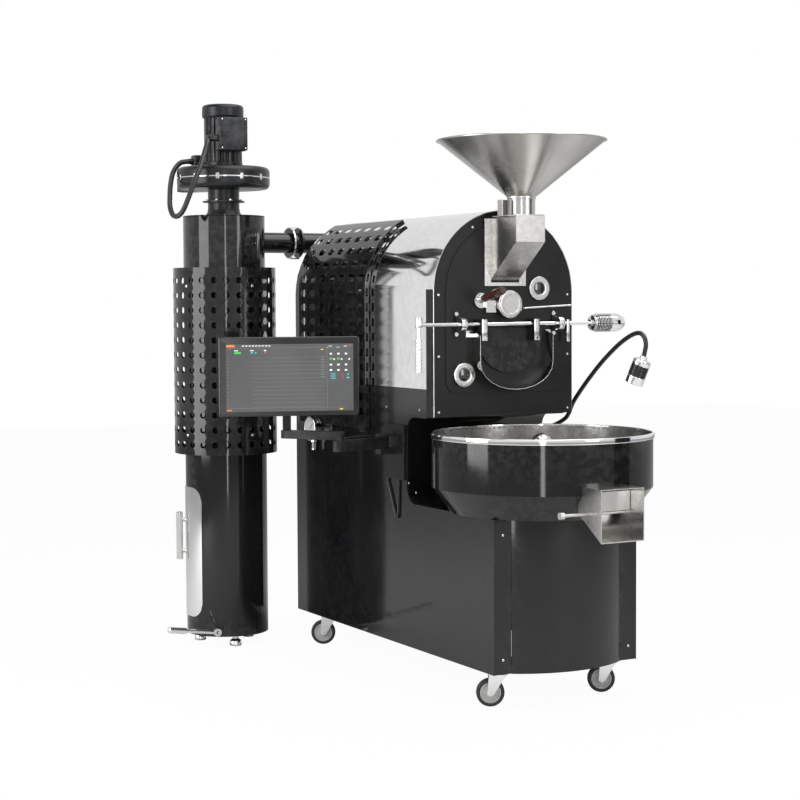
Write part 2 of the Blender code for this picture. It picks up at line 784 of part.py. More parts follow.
def rear_panel():
    band = arch_ring(HALF, HALF - BAND_SHEET, COVER_BOTTOM)
    depth = (BODY_REAR - REAR_BAND_DEPTH, BODY_REAR - SHEET + LAP)
    piece("rear_panel", BLACK_GLOSS,
          slab(arch_outline(HALF, FLOOR_GAP), 0, SHEET, plan_front(BODY_REAR)),
          joins=[slab(band, 0, depth[1] - depth[0], plan_front(depth[1]))],
          cuts=[rod(DUCT_RADIUS - DUCT_WALL, BODY_REAR - OVERRUN, BODY_REAR + OVERRUN,
                    along_y(DUCT_END_X, DUCT_Z), STEPS)])


def door_outline(radius, top):
    """Half-round outline with a flat top, in X and Z."""
    low = (DOOR_CENTRE[0], DOOR_CENTRE[1])
    return arc(low, radius, pi, 2 * pi, STEPS_SMALL) + [(low[0] + radius, top), (low[0] - radius, top)]


def front_plate():
    tray = arch_ring(HALF, HALF - BAND_SHEET, PLATE_BOTTOM)
    face = arch_outline(FACE_HALF, FACE_BOTTOM, FACE_CORNER)
    through = plan_front(OVERRUN)
    feed_half = BOX_WIDTH / 2 - BOX_SHEET
    feed_x = HOPPER_CENTRE[0]
    feed = [(feed_x - feed_half, BOX_FOOT_BOTTOM + BOX_SHEET), (feed_x + feed_half, BOX_FOOT_BOTTOM + BOX_SHEET),
            (feed_x + feed_half, BOX_FOOT_TOP), (feed_x - feed_half, BOX_FOOT_TOP)]
    trier = facing((0, -cos(TRIER_TILT), sin(TRIER_TILT)), (TRIER_AT[0], 0, TRIER_AT[1]))
    holes = [slab(door_outline(DOOR_OPENING_RADIUS, DOOR_CENTRE[1]), 0, 2 * OVERRUN, through),
             slab(feed, 0, 2 * OVERRUN, through),
             rod(bore_for(TRIER_ROD_RADIUS, play=TRIER_PLAY), -OVERRUN, OVERRUN, trier),
             rod(bore_for(DRUM_SHAFT_RADIUS, STEPS_ROUND, RING_PLAY), -OVERRUN, OVERRUN, along_y(0, DRUM_AXIS_Z), STEPS_ROUND)]
    for x, z in (UPPER_SIGHT, LOWER_SIGHT):
        holes.append(rod(SIGHT_GLASS_RADIUS, -OVERRUN, OVERRUN, along_y(x, z)))
    piece("front_plate", BLACK_SATIN,
          slab(arch_outline(HALF - LAP, PLATE_BOTTOM + LAP, steps=STEPS_SMALL), 0, PLATE_SHEET, plan_front(PLATE_SHEET)),
          joins=[slab(tray, 0, BAND_DEPTH - PLATE_SHEET + LAP, plan_front(BAND_DEPTH)),
                 slab(face, 0, FACE_SHEET + LAP, plan_front(LAP))],
          cuts=[holes])


def arch_cover():
    piece("arch_cover", CHROME,
          slab(arch_ring(HALF, HALF - COVER_SHEET, COVER_BOTTOM), 0, COVER_REAR - COVER_FRONT,
               plan_front(COVER_REAR)))


def heat_guard():
    radius = HALF + GUARD_STANDOFF
    seat = HALF + GAP
    lean = pi - GUARD_SWEEP
    outer = [(-radius, GUARD_BOTTOM)] + arc((0, ARCH_CENTRE), radius, pi, lean, STEPS_SMALL // 2)
    inner = arc((0, ARCH_CENTRE), radius - SHEET, lean + SHEET / radius, pi, STEPS_SMALL // 2)
    top_leg = [(seat * cos(lean), ARCH_CENTRE + seat * sin(lean)),
               (seat * cos(lean + SHEET / seat), ARCH_CENTRE + seat * sin(lean + SHEET / seat))]
    foot = [(SHEET - radius, GUARD_BOTTOM + SHEET), (-seat, GUARD_BOTTOM + SHEET), (-seat, GUARD_BOTTOM)]
    piece("heat_guard", BLACK_SATIN,
          slab(outer + top_leg + inner + foot, 0, COVER_REAR - GUARD_FRONT, plan_front(COVER_REAR)))


# Roasting drum and its drive

def roasting_drum():
    back = DRUM_FRONT + DRUM_LENGTH
    gear_end = back + GEARBOX_GAP + GEARBOX_SIZE[1] - OVERRUN
    inner = DRUM_RADIUS - DRUM_WALL
    profile = [(0, -SHAFT_NOSE), (DRUM_SHAFT_RADIUS, -SHAFT_NOSE), (DRUM_SHAFT_RADIUS, back - DRUM_BACK_WALL),
               (inner, back - DRUM_BACK_WALL), (inner, DRUM_FRONT), (DRUM_RADIUS, DRUM_FRONT),
               (DRUM_RADIUS, back), (DRUM_SHAFT_RADIUS, back), (DRUM_SHAFT_RADIUS, gear_end), (0, gear_end)]
    at = along_y(0, DRUM_AXIS_Z)
    reach = inner + LAP
    arm, depth = SPIDER_ARM
    spider = [block((-reach, -arm / 2, SPIDER_AT), (reach, arm / 2, SPIDER_AT + depth), at),
              block((-arm / 2, -reach, SPIDER_AT), (arm / 2, reach, SPIDER_AT + depth), at)]
    flights = []
    for i in range(4):
        turn = at @ Matrix.Rotation(pi / 4 + i * QUARTER, 4, "Z")
        flights.append(block((inner - arm, -DRUM_WALL / 2, SPIDER_AT), (reach, DRUM_WALL / 2, back - OVERRUN), turn))
    piece("roasting_drum", DARK_STEEL, turned(profile, STEPS, at),
          joins=[spider[0], spider[1], flights], pivot=(0, 0, DRUM_AXIS_Z))


def bearing_cap():
    depth = -FACE
    flange = depth + CAP_DEPTH
    neck = CAP_RADIUS - CAP_STEP
    bore = bore_for(DRUM_SHAFT_RADIUS, STEPS)
    profile = [(bore, depth), (neck, depth), (neck, flange - 2 * CAP_STEP), (CAP_RADIUS, flange - 2 * CAP_STEP),
               (CAP_RADIUS, flange), (0, flange), (0, depth + CAP_BORE_DEPTH), (bore, depth + CAP_BORE_DEPTH)]
    at = Matrix.Translation((0, 0, DRUM_AXIS_Z)) @ Matrix.Rotation(QUARTER, 4, "X")
    piece("bearing_cap", STAINLESS, turned(profile, STEPS, at))


def drum_motor():
    width, depth, height = GEARBOX_SIZE
    near = DRUM_FRONT + DRUM_LENGTH + GEARBOX_GAP
    bore = bore_for(DRUM_SHAFT_RADIUS, STEPS)
    low = DRUM_AXIS_Z - height / 2
    centre = near + depth / 2
    arm = width / 4
    piece("drum_motor", MOTOR_GREY,
          block((-width / 2, near, low), (width / 2, near + depth, low + height)),
          joins=[rod(GEAR_MOTOR_RADIUS, low - GEAR_MOTOR_LENGTH, low + LAP, shifted(y=centre), STEPS),
                 block((-arm, near + depth - LAP, DRUM_AXIS_Z - arm),
                       (arm, BODY_REAR - SHEET - GAP, DRUM_AXIS_Z + arm))],
          cuts=[rod(bore, near - OVERRUN, near + depth - OVERRUN + GAP, along_y(0, DRUM_AXIS_Z), STEPS)])


def gas_burner():
    tubes = [rod(BURNER_RADIUS, BURNER_FRONT, BURNER_FRONT + BURNER_LENGTH, along_y(i * BURNER_SPACING, BURNER_Z),
                 STEPS_TINY) for i in (-1, 0, 1)]
    ends = (BURNER_FRONT + BURNER_POST, BURNER_FRONT + BURNER_LENGTH - 2 * BURNER_POST)
    bars = [block((-INSIDE, y, BURNER_Z - BURNER_RADIUS / 2), (INSIDE, y + BURNER_POST, BURNER_Z + BURNER_RADIUS / 2))
            for y in ends]
    piece("gas_burner", CAST_IRON, bars[0], joins=[tubes, bars[1]])


# Fittings on the face

def sight_ring(name, place):
    x, z = place
    at = Matrix.Translation((x, FACE, z)) @ Matrix.Rotation(QUARTER, 4, "X")
    bevel = SIGHT_DEPTH / 4
    profile = [(SIGHT_GLASS_RADIUS, 0), (SIGHT_RADIUS, 0), (SIGHT_RADIUS, SIGHT_DEPTH - bevel),
               (SIGHT_RADIUS - bevel, SIGHT_DEPTH), (SIGHT_GLASS_RADIUS + bevel, SIGHT_DEPTH),
               (SIGHT_GLASS_RADIUS, SIGHT_DEPTH - bevel)]
    piece(name, STAINLESS, turned(profile, STEPS_ROUND, at))


def probe_rod():
    x, z = PROBE_START
    out = FACE - PROBE_OUT
    length = PROBE_END_X - x
    bend = [(x + length * s, out, z + PROBE_RISE * s ** 2) for s in (0, 0.25, 0.5, 0.75, 1)]
    piece("probe_rod", STAINLESS, rod(PROBE_BOSS_RADIUS, 0, PROBE_OUT + PROBE_RADIUS,
                                      Matrix.Translation((x, FACE, z)) @ Matrix.Rotation(QUARTER, 4, "X")),
          joins=[pipe(bend, PROBE_RADIUS, STEPS_TINY)])


def trier_axis():
    return facing((0, -cos(TRIER_TILT), sin(TRIER_TILT)), (TRIER_AT[0], 0, TRIER_AT[1]))


def trier_guide():
    x, z = TRIER_AT
    front = Matrix.Translation((x, FACE, z)) @ Matrix.Rotation(QUARTER, 4, "X")
    wide, deep, tall = TRIER_BLOCK
    low = z - tall
    corner = x + TRIER_SLEEVE_RADIUS + TRIER_PLAY
    piece("trier_guide", STAINLESS, rod(TRIER_FLANGE_RADIUS, 0, TRIER_FLANGE_DEPTH, front, STEPS_ROUND),
          joins=[rod(TRIER_SLEEVE_RADIUS, TRIER_FLANGE_DEPTH, TRIER_FLANGE_DEPTH + TRIER_SLEEVE_LENGTH,
                     trier_axis(), STEPS_ROUND),
                 block((corner, FACE - deep, low), (corner + wide, FACE, low + tall))],
          cuts=[rod(bore_for(TRIER_ROD_RADIUS, play=TRIER_PLAY), -OVERRUN, TRIER_SLEEVE_LENGTH + TRIER_FLANGE_DEPTH + OVERRUN,
                    trier_axis())])


def trier():
    at = trier_axis()
    start = TRIER_FLANGE_DEPTH + TRIER_SLEEVE_LENGTH + GAP
    ferrule = start + TRIER_FERRULE
    axis_start = at @ Vector((0, 0, 0))
    scoop = block((-TRIER_ROD_RADIUS, 0, -TRIER_INSIDE + OVERRUN),
                  (TRIER_ROD_RADIUS, 2 * TRIER_ROD_RADIUS, -OVERRUN), at)
    shaft = [(0, -TRIER_INSIDE), (TRIER_ROD_RADIUS, -TRIER_INSIDE), (TRIER_ROD_RADIUS, start),
             (TRIER_SLEEVE_RADIUS, start), (TRIER_SLEEVE_RADIUS, ferrule), (0, ferrule)]
    piece("trier_rod", STAINLESS, turned(shaft, STEPS_SMALL, at), cuts=[scoop], pivot=axis_start)
    grip = TRIER_GRIP_RADIUS
    base = ferrule + GAP
    end = base + TRIER_GRIP_LENGTH
    waist = grip * TRIER_GRIP_END_SHARE
    profile = [(0, base), (waist, base), (grip, base + grip), (grip, end - grip), (waist, end), (0, end)]
    piece("trier_handle", WOOD, turned(profile, STEPS_ROUND, at), pivot=axis_start)


# Discharge door

def door():
    face = FACE
    back = face - DOOR_SHEET
    clamp_back = back + LAP
    outline = door_outline(DOOR_RADIUS, DOOR_SHAFT_Z - CLAMP_TOP)
    clamps = []
    bores = []
    for x in CLAMP_X:
        clamps.append(block((x - CLAMP_WIDTH / 2, -DOOR_SHAFT_OUT - CLAMP_FRONT, DOOR_SHAFT_Z - CLAMP_DROP),
                            (x + CLAMP_WIDTH / 2, clamp_back, DOOR_SHAFT_Z + CLAMP_TOP)))
        bores.append(rod(bore_for(DOOR_SHAFT_RADIUS), x - OVERRUN, x + OVERRUN,
                         along_x(-DOOR_SHAFT_OUT, DOOR_SHAFT_Z)))
    piece("door_plate", BLACK_SATIN, slab(outline, 0, DOOR_SHEET, plan_front(face)),
          joins=[clamps], cuts=[bores], pivot=DOOR_SHAFT)


def finned(base, fins, pitch, root, tips):
    """Profile points of round fins, from the base upwards."""
    rise, crest = FIN_SHARES
    points = []
    for i in range(fins):
        low = base + i * pitch
        tip = tips[min(i, len(tips) - 1)]
        points += [(root, low), (tip, low + pitch * rise), (tip, low + pitch * crest)]
    return points


def door_shaft():
    lever_x = -DOOR_SHAFT_LEFT
    top = DOOR_SHAFT_Z + LEVER_TOP
    bottom = DOOR_SHAFT_Z - LEVER_DROP
    fin_top = DOOR_SHAFT_Z - LEVER_NECK_DROP
    pitch = (fin_top - bottom) / LEVER_FINS
    boss = DOOR_SHAFT_Z - LEVER_BOSS_DROP - LEVER_ROD_RADIUS
    profile = ([(0, bottom)] + finned(bottom, LEVER_FINS, pitch, LEVER_ROD_RADIUS, [LEVER_RADIUS])
               + [(DOOR_SHAFT_RADIUS, fin_top), (DOOR_SHAFT_RADIUS, boss), (LEVER_RADIUS, boss),
                  (LEVER_RADIUS, top), (0, top)])
    latch_top = DOOR_SHAFT_Z + LATCH_WIDTH
    half = LATCH_WIDTH / 2
    piece("door_shaft", CHROME,
          rod(DOOR_SHAFT_RADIUS, -DOOR_SHAFT_LEFT, DOOR_SHAFT_RIGHT, along_x(-DOOR_SHAFT_OUT, DOOR_SHAFT_Z)),
          joins=[turned(profile, STEPS_SMALL, shifted(lever_x, -DOOR_SHAFT_OUT)),
                 block((LATCH_X - half, -DOOR_SHAFT_OUT - LATCH_DEPTH, latch_top - LATCH_DROP),
                       (LATCH_X + half, -DOOR_SHAFT_OUT + LATCH_DEPTH, latch_top))],
          pivot=DOOR_SHAFT)


def door_handle():
    start = DOOR_SHAFT_RIGHT + GAP
    fin_start = start + HANDLE_NECK
    fin_end = fin_start + HANDLE_FINS_LENGTH
    pitch = HANDLE_FINS_LENGTH / HANDLE_FINS
    straight = fin_end + HANDLE_DOME_LENGTH * HANDLE_DOME_SHARE
    dome = HANDLE_DOME_LENGTH - HANDLE_DOME_LENGTH * HANDLE_DOME_SHARE
    tips = [HANDLE_CORE_RADIUS + (HANDLE_RADIUS - HANDLE_CORE_RADIUS) * i / 4 for i in range(1, 5)]
    profile = ([(0, start), (HANDLE_NECK_RADIUS, start), (HANDLE_NECK_RADIUS, fin_start)]
               + finned(fin_start, HANDLE_FINS, pitch, HANDLE_CORE_RADIUS, tips) + [(HANDLE_RADIUS, fin_end)]
               + [(HANDLE_RADIUS * cos(t), straight + dome * sin(t)) for t in [QUARTER * i / 5 for i in range(5)]]
               + [(0, straight + dome)])
    piece("door_handle", CHROME, turned(profile, STEPS_SMALL, along_x(-DOOR_SHAFT_OUT, DOOR_SHAFT_Z)), pivot=DOOR_SHAFT)


def door_bracket(name, x):
    plate_back = FACE
    front = plate_back - BRACKET_SHEET
    half = BRACKET_WIDTH / 2
    ring = sleeve(BRACKET_RING_RADIUS, bore_for(DOOR_SHAFT_RADIUS, STEPS_ROUND), x - BRACKET_RING_LENGTH / 2,
                  x + BRACKET_RING_LENGTH / 2, along_x(-DOOR_SHAFT_OUT, DOOR_SHAFT_Z), STEPS_ROUND)
    web = block((x - half / 2, -DOOR_SHAFT_OUT + DOOR_SHAFT_RADIUS + LAP, DOOR_SHAFT_Z - half),
                (x + half / 2, front + LAP, DOOR_SHAFT_Z + half))
    piece(name, BLACK_SATIN, ring,
          joins=[web, block((x - half, front, DOOR_SHAFT_Z - BRACKET_HEIGHT / 2),
                            (x + half, plate_back, DOOR_SHAFT_Z + BRACKET_HEIGHT / 2))])


def chute_path(half, bend, bottom):
    """U outline from the top left, round the bottom, to the top right, in X and Z."""
    points = [(CHUTE_CENTRE_X - half, CHUTE_TOP)]
    for i in range(STEPS_SMALL + 1):
        turn = pi + pi * i / STEPS_SMALL
        points.append((CHUTE_CENTRE_X + half * cos(turn), bend + (bend - bottom) * sin(turn)))
    return points + [(CHUTE_CENTRE_X + half, CHUTE_TOP)]


def discharge_chute():
    outer = chute_path(CHUTE_HALF_WIDTH, CHUTE_BEND, CHUTE_BOTTOM)
    inner = chute_path(CHUTE_HALF_WIDTH - CHUTE_SHEET, CHUTE_BEND, CHUTE_BOTTOM + CHUTE_SHEET)
    u_shape = slab(outer + inner[::-1], 0, CHUTE_DEPTH, plan_front())
    lean = sheared(u_shape, CHUTE_DIP / CHUTE_DEPTH)

    def seated(bm):
        lean(bm)
        bmesh.ops.translate(bm, vec=(0, FACE, 0), verts=bm.verts)

    tabs = []
    for side in (-1, 1):
        inside = CHUTE_CENTRE_X + side * (CHUTE_HALF_WIDTH - LAP)
        outside = CHUTE_CENTRE_X + side * (CHUTE_HALF_WIDTH + CHUTE_TAB)
        tabs.append(block((min(inside, outside), FACE - 2 * CHUTE_SHEET, CHUTE_TOP - CHUTE_TAB),
                          (max(inside, outside), FACE, CHUTE_TOP - CHUTE_SHEET)))
    piece("discharge_chute", STAINLESS, seated, joins=[tabs])


# Feed hopper, gate and feed box

def feed_box():
    x0, y0 = HOPPER_CENTRE
    front = y0 - BOX_DEPTH / 2
    half = BOX_WIDTH / 2
    sheet = BOX_SHEET
    outline = [(front, BOX_TOP), (front, BOX_BREAK), (FACE, BOX_FOOT_BOTTOM), (FACE, BOX_TOP)]
    slope = (BOX_BREAK - BOX_FOOT_BOTTOM) / (FACE - front)
    inner_front = front + sheet
    lift = sheet * sqrt(1 + slope ** 2)
    inner_break = BOX_BREAK + lift - slope * sheet
    beyond = FACE + OVERRUN
    hollow = [(inner_front, BOX_TOP - sheet), (inner_front, inner_break),
              (beyond, inner_break - slope * (beyond - inner_front)), (beyond, BOX_TOP - sheet)]
    throat = rod(HOPPER_THROAT_RADIUS - HOPPER_SHEET, BOX_TOP - OVERRUN, BOX_TOP + OVERRUN,
                 shifted(x0, y0), STEPS)
    rail_top = BOX_TOP + GATE_SHEET + GAP
    gate_half = BOX_DEPTH / 2 - sheet * 3
    rails = [block((x0 - half, y0 - BOX_DEPTH / 2, BOX_TOP - LAP), (x0 + half, y0 - gate_half - GAP, rail_top)),
             block((x0 - half, y0 + gate_half + GAP, BOX_TOP - LAP), (x0 + half, y0 + BOX_DEPTH / 2, rail_top))]
    plate = y0 + BOX_DEPTH / 2 + GAP
    stand = block((x0 - half, plate, BOX_TOP - LAP), (x0 + half, plate + HOPPER_PLATE_SHEET, BOX_TOP + HOPPER_PLATE_HEIGHT))
    piece("feed_box", STAINLESS, slab(outline, x0 - half, x0 + half, plan_side()), joins=[rails, stand],
          cuts=[slab(hollow, x0 - half + sheet, x0 + half - sheet, plan_side()), throat])


def feed_gate():
    x0, y0 = HOPPER_CENTRE
    half = BOX_WIDTH / 2
    low = BOX_TOP + GAP
    gate_half = BOX_DEPTH / 2 - BOX_SHEET * 3
    left = x0 - half - GATE_TAB
    tab_half = GATE_TAB / 2
    piece("feed_gate", STAINLESS,
          block((left, y0 - gate_half, low), (x0 + half, y0 + gate_half, low + GATE_SHEET - GAP)),
          joins=[block((left, y0 - tab_half, low), (left + GATE_SHEET, y0 + tab_half, low + 2 * GATE_TAB))],
          pivot=(left, y0, low))


def feed_hopper():
    x0, y0 = HOPPER_CENTRE
    half = BOX_WIDTH / 2
    sheet = HOPPER_SHEET
    flange = BOX_TOP + GATE_SHEET + 2 * GAP
    rim = HOPPER_RIM_RADIUS
    throat = HOPPER_THROAT_RADIUS
    profile = [(rim, HOPPER_RIM_Z), (rim, HOPPER_RIM_Z - HOPPER_RIM_ROLL),
               (rim - HOPPER_RIM_ROLL, HOPPER_RIM_Z - HOPPER_RIM_ROLL), (throat, HOPPER_THROAT_Z),
               (throat, flange), (throat - sheet, flange), (throat - sheet, HOPPER_THROAT_Z),
               (rim - HOPPER_RIM_ROLL - sheet, HOPPER_RIM_Z - sheet), (rim - HOPPER_RIM_ROLL, HOPPER_RIM_Z)]
    outline = [(x0 - half, y0 - BOX_DEPTH / 2), (x0 + half, y0 - BOX_DEPTH / 2),
               (x0 + half, y0 + BOX_DEPTH / 2), (x0 - half, y0 + BOX_DEPTH / 2)]
    piece("feed_hopper", STAINLESS, turned(profile, STEPS_LARGE, shifted(x0, y0)),
          joins=[slab(outline, flange, flange + sheet, holes=[arc((x0, y0), throat - sheet / 2, 0, 2 * pi, STEPS_ROUND)[:-1]])])


def feed_frame():
    half = FEED_FRAME_HALF
    low = BOX_FOOT_BOTTOM - FEED_FRAME_BELOW
    high = BOX_TOP - FEED_FRAME_LOWER
    x0 = HOPPER_CENTRE[0]
    window = BOX_WIDTH / 2 + GAP
    sill = BOX_FOOT_BOTTOM - BOX_SHEET * 2
    outline = [(-half, low), (half, low), (half, high), (-half, high)]
    opening = [(x0 - window, sill), (x0 + window, sill), (x0 + window, high + OVERRUN),
               (x0 - window, high + OVERRUN)]
    piece("feed_frame", STAINLESS, slab(outline, 0, FEED_FRAME_SHEET, plan_front(FACE)),
          cuts=[slab(opening, -OVERRUN, 2 * OVERRUN, plan_front(FACE))])


# Cooling bin

def bin_shell():
    foot = DECK_TOP + GAP
    wall = BIN_WALL
    sheet = BIN_SHEET
    air = BIN_FOOT_RADIUS / 2
    top = BIN_RIM_Z - BIN_RIM_WALL / 2
    profile = [(wall, top), (wall, BIN_WALL_BOTTOM), (BIN_FOOT_RADIUS, foot), (air, foot), (air, foot + sheet),
               (BIN_FOOT_RADIUS - sheet, foot + sheet), (wall - sheet, BIN_WALL_BOTTOM + sheet), (wall - sheet, top)]
    hole = block((-OUTLET_HOLE_HALF, BIN_CENTRE_Y - BIN_RADIUS - OVERRUN, OUTLET_HOLE_BOTTOM),
                 (OUTLET_HOLE_HALF, BIN_CENTRE_Y, OUTLET_HOLE_TOP))
    piece("bin_shell", BLACK_GLOSS, turned(profile, STEPS_LARGE, shifted(y=BIN_CENTRE_Y)), cuts=[hole])


def bin_rim():
    wall = BIN_WALL
    seat = BIN_RIM_Z - BIN_RIM_WALL / 2 + GAP
    low = BIN_RIM_Z - BIN_RIM_HEIGHT
    inner = wall - BIN_SHEET
    outer = wall + GAP
    profile = [(outer, low), (BIN_RADIUS, low), (BIN_RADIUS, BIN_RIM_Z - BIN_SHEET / 2),
               (BIN_RADIUS - BIN_SHEET / 2, BIN_RIM_Z), (inner, BIN_RIM_Z), (inner, seat), (outer, seat)]
    piece("bin_rim", CHROME, turned(profile, STEPS_LARGE, shifted(y=BIN_CENTRE_Y)))


def floor_radius(z):
    return cone_radius(z - BIN_SHEET, BIN_SHEET) - FLOOR_PLAY


def bin_floor():
    top = BIN_FLOOR_Z
    low = top - BIN_FLOOR_SHEET
    hole = bore_for(AGITATOR_SHAFT_RADIUS, STEPS_LARGE, RING_PLAY)
    profile = [(hole, low), (floor_radius(low), low), (floor_radius(top), top), (hole, top)]
    piece("bin_floor", STAINLESS, turned(profile, STEPS_LARGE, shifted(y=BIN_CENTRE_Y)))


def agitator():
    low = BIN_FLOOR_Z + GAP
    dome = [(HUB_RADIUS * cos(t), HUB_TOP - HUB_RADIUS + HUB_RADIUS * sin(t)) for t in [QUARTER * i / 5 for i in range(5)]]
    shaft_low = DECK_BOTTOM - STIR_GEARBOX_HEIGHT / 2
    profile = ([(0, shaft_low), (AGITATOR_SHAFT_RADIUS, shaft_low), (AGITATOR_SHAFT_RADIUS, low), (HUB_NECK_RADIUS, low),
                (HUB_NECK_RADIUS, HUB_TOP - 2 * HUB_RADIUS)] + dome + [(0, HUB_TOP)])
    reach = floor_radius(BIN_FLOOR_Z) - STIR_CLEARANCE
    arms = []
    for i in range(ARM_COUNT):
        turn = shifted(y=BIN_CENTRE_Y) @ Matrix.Rotation(i * 2 * pi / ARM_COUNT + pi / 8, 4, "Z")
        inner = reach * PADDLE_START_SHARES[i % 2]
        arms.append(block((0, -ARM_WIDTH / 2, ARM_Z), (reach, ARM_WIDTH / 2, ARM_Z + ARM_HEIGHT), turn))
        arms.append(block((inner, -PADDLE_SHEET / 2, BIN_FLOOR_Z + STIR_CLEARANCE),
                          (inner + reach * PADDLE_SHARE, PADDLE_SHEET / 2, ARM_Z + LAP), turn))
    piece("agitator", STAINLESS, turned(profile, STEPS_ROUND, shifted(y=BIN_CENTRE_Y)),
          joins=arms, pivot=(0, BIN_CENTRE_Y, BIN_FLOOR_Z))


def agitator_motor():
    bar_top = DECK_BOTTOM - GAP
    bar_low = bar_top - FRAME_RAIL / 6
    half = STIR_GEARBOX / 2
    reach = BIN_FOOT_RADIUS / 2 + FRAME_RAIL
    box_low = bar_low - STIR_GEARBOX_HEIGHT
    y = BIN_CENTRE_Y
    piece("agitator_motor", MOTOR_GREY, block((-reach, y - half / 2, bar_low), (reach, y + half / 2, bar_top)),
          joins=[block((-half, y - half, box_low), (half, y + half, bar_low + LAP)),
                 rod(STIR_MOTOR_RADIUS, box_low - STIR_MOTOR_LENGTH, box_low + LAP, shifted(y=y), STEPS)],
          cuts=[rod(bore_for(AGITATOR_SHAFT_RADIUS, STEPS), DECK_BOTTOM - STIR_GEARBOX_HEIGHT / 2 - GAP, DECK_TOP,
                    shifted(y=y), STEPS)])


def outlet_box():
    half = OUTLET_HALF_WIDTH
    sheet = OUTLET_SHEET
    back = BIN_CENTRE_Y - BIN_RADIUS + OUTLET_REACH
    front = -OUTLET_FRONT
    run = back - front
    outline = [(back, OUTLET_BACK_BOTTOM), (front, OUTLET_FRONT_BOTTOM), (front, OUTLET_TOP), (back, OUTLET_TOP)]
    slope = (OUTLET_BACK_BOTTOM - OUTLET_FRONT_BOTTOM) / run
    lift = sheet * sqrt(1 + slope ** 2)
    hollow = [(back + OVERRUN, OUTLET_BACK_BOTTOM + lift + slope * OVERRUN),
              (front - OVERRUN, OUTLET_FRONT_BOTTOM + lift - slope * OVERRUN),
              (front - OVERRUN, OUTLET_TOP - sheet), (back + OVERRUN, OUTLET_TOP - sheet)]
    bin_body = turned([(0, DECK_TOP), (BIN_FOOT_RADIUS + GAP, DECK_TOP), (BIN_WALL + GAP, BIN_WALL_BOTTOM),
                       (BIN_WALL + GAP, BIN_RIM_Z), (0, BIN_RIM_Z)], STEPS_LARGE, shifted(y=BIN_CENTRE_Y))
    shaft = rod(bore_for(FLAP_SHAFT_RADIUS), -2 * half, 2 * half, along_x(-FLAP_SHAFT_Y, FLAP_SHAFT_Z))
    piece("outlet_box", STAINLESS, slab(outline, -half, half, plan_side()),
          cuts=[slab(hollow, sheet - half, half - sheet, plan_side()), bin_body, shaft])


def outlet_gate():
    half = OUTLET_HALF_WIDTH - OUTLET_SHEET - GATE_PLAY
    pivot = (0, -FLAP_SHAFT_Y, FLAP_SHAFT_Z)
    at = along_x(-FLAP_SHAFT_Y, FLAP_SHAFT_Z)
    knob = -FLAP_KNOB_X
    profile = [(0, knob - FLAP_KNOB_LENGTH), (FLAP_KNOB_RADIUS, knob - FLAP_KNOB_LENGTH), (FLAP_KNOB_RADIUS, knob),
               (FLAP_SHAFT_RADIUS, knob), (FLAP_SHAFT_RADIUS, OUTLET_HALF_WIDTH + FLAP_KNOB_LENGTH),
               (0, OUTLET_HALF_WIDTH + FLAP_KNOB_LENGTH)]
    piece("outlet_gate", STAINLESS, turned(profile, STEPS_SMALL, at),
          joins=[block((-half, -FLAP_SHAFT_Y - FLAP_SHEET / 2, FLAP_SHAFT_Z),
                       (half, -FLAP_SHAFT_Y + FLAP_SHEET / 2, FLAP_SHAFT_Z + FLAP_HEIGHT))],
          pivot=pivot)


# Casters

def caster(name, x, y):
    """Swivel fork and wheel, with the wheel trailing to one side."""
    at = Matrix.Translation((x, y, 0)) @ Matrix.Rotation(CASTER_TURN, 4, "Z")
    top = FLOOR_GAP - GAP
    disc_low = top - CASTER_PLATE
    yoke_low = disc_low - FORK_SHEET
    inner = WHEEL_WIDTH / 2 + FORK_GAP
    outer = inner + FORK_SHEET
    trail = CASTER_TRAIL
    bar = FORK_WIDTH / 3
    cheek = [(-bar * 2, yoke_low + LAP), (-bar, yoke_low - FORK_WIDTH / 3), (trail - bar, WHEEL_RADIUS - bar / 2),
             (trail, WHEEL_RADIUS - bar), (trail + bar, WHEEL_RADIUS - bar / 2), (trail + bar / 2, yoke_low + LAP)]
    stand = at @ Matrix.Rotation(QUARTER, 4, "X")
    cheeks = [slab(cheek, inner, outer, stand), slab(cheek, -outer, -inner, stand)]
    yoke = block((-bar * 2 - LAP, LAP - outer, yoke_low), (trail + bar / 2 + LAP, outer - LAP, disc_low + LAP), at)
    axle = rod(AXLE_RADIUS, -outer - FORK_SHEET, outer + FORK_SHEET,
               at @ Matrix.Translation((trail, 0, WHEEL_RADIUS)) @ Matrix.Rotation(QUARTER, 4, "X"), STEPS_TINY)
    fork = piece(f"{name}_fork", CHROME, rod(CASTER_PLATE_RADIUS, disc_low, top, at, STEPS_SMALL),
                 joins=[yoke, cheeks, axle], pivot=(x, y, FLOOR_GAP))
    hub = at @ Vector((trail, 0, WHEEL_RADIUS))
    half = WHEEL_WIDTH / 2
    bore = bore_for(AXLE_RADIUS, STEPS_ROUND)
    chamfer = HUB_DISH
    profile = [(bore, -half), (HUB_WHEEL_RADIUS, -half + HUB_DISH), (HUB_WHEEL_RADIUS + HUB_DISH, -half),
               (WHEEL_RADIUS - chamfer, -half), (WHEEL_RADIUS, -half + chamfer), (WHEEL_RADIUS, half - chamfer),
               (WHEEL_RADIUS - chamfer, half), (HUB_WHEEL_RADIUS + HUB_DISH, half), (HUB_WHEEL_RADIUS, half - HUB_DISH),
               (bore, half)]
    axis = at @ Matrix.Translation((trail, 0, WHEEL_RADIUS)) @ Matrix.Rotation(QUARTER, 4, "X")
    piece(f"{name}_wheel", RUBBER, turned(profile, STEPS_ROUND, axis), pivot=hub)
    return fork


# Lamp

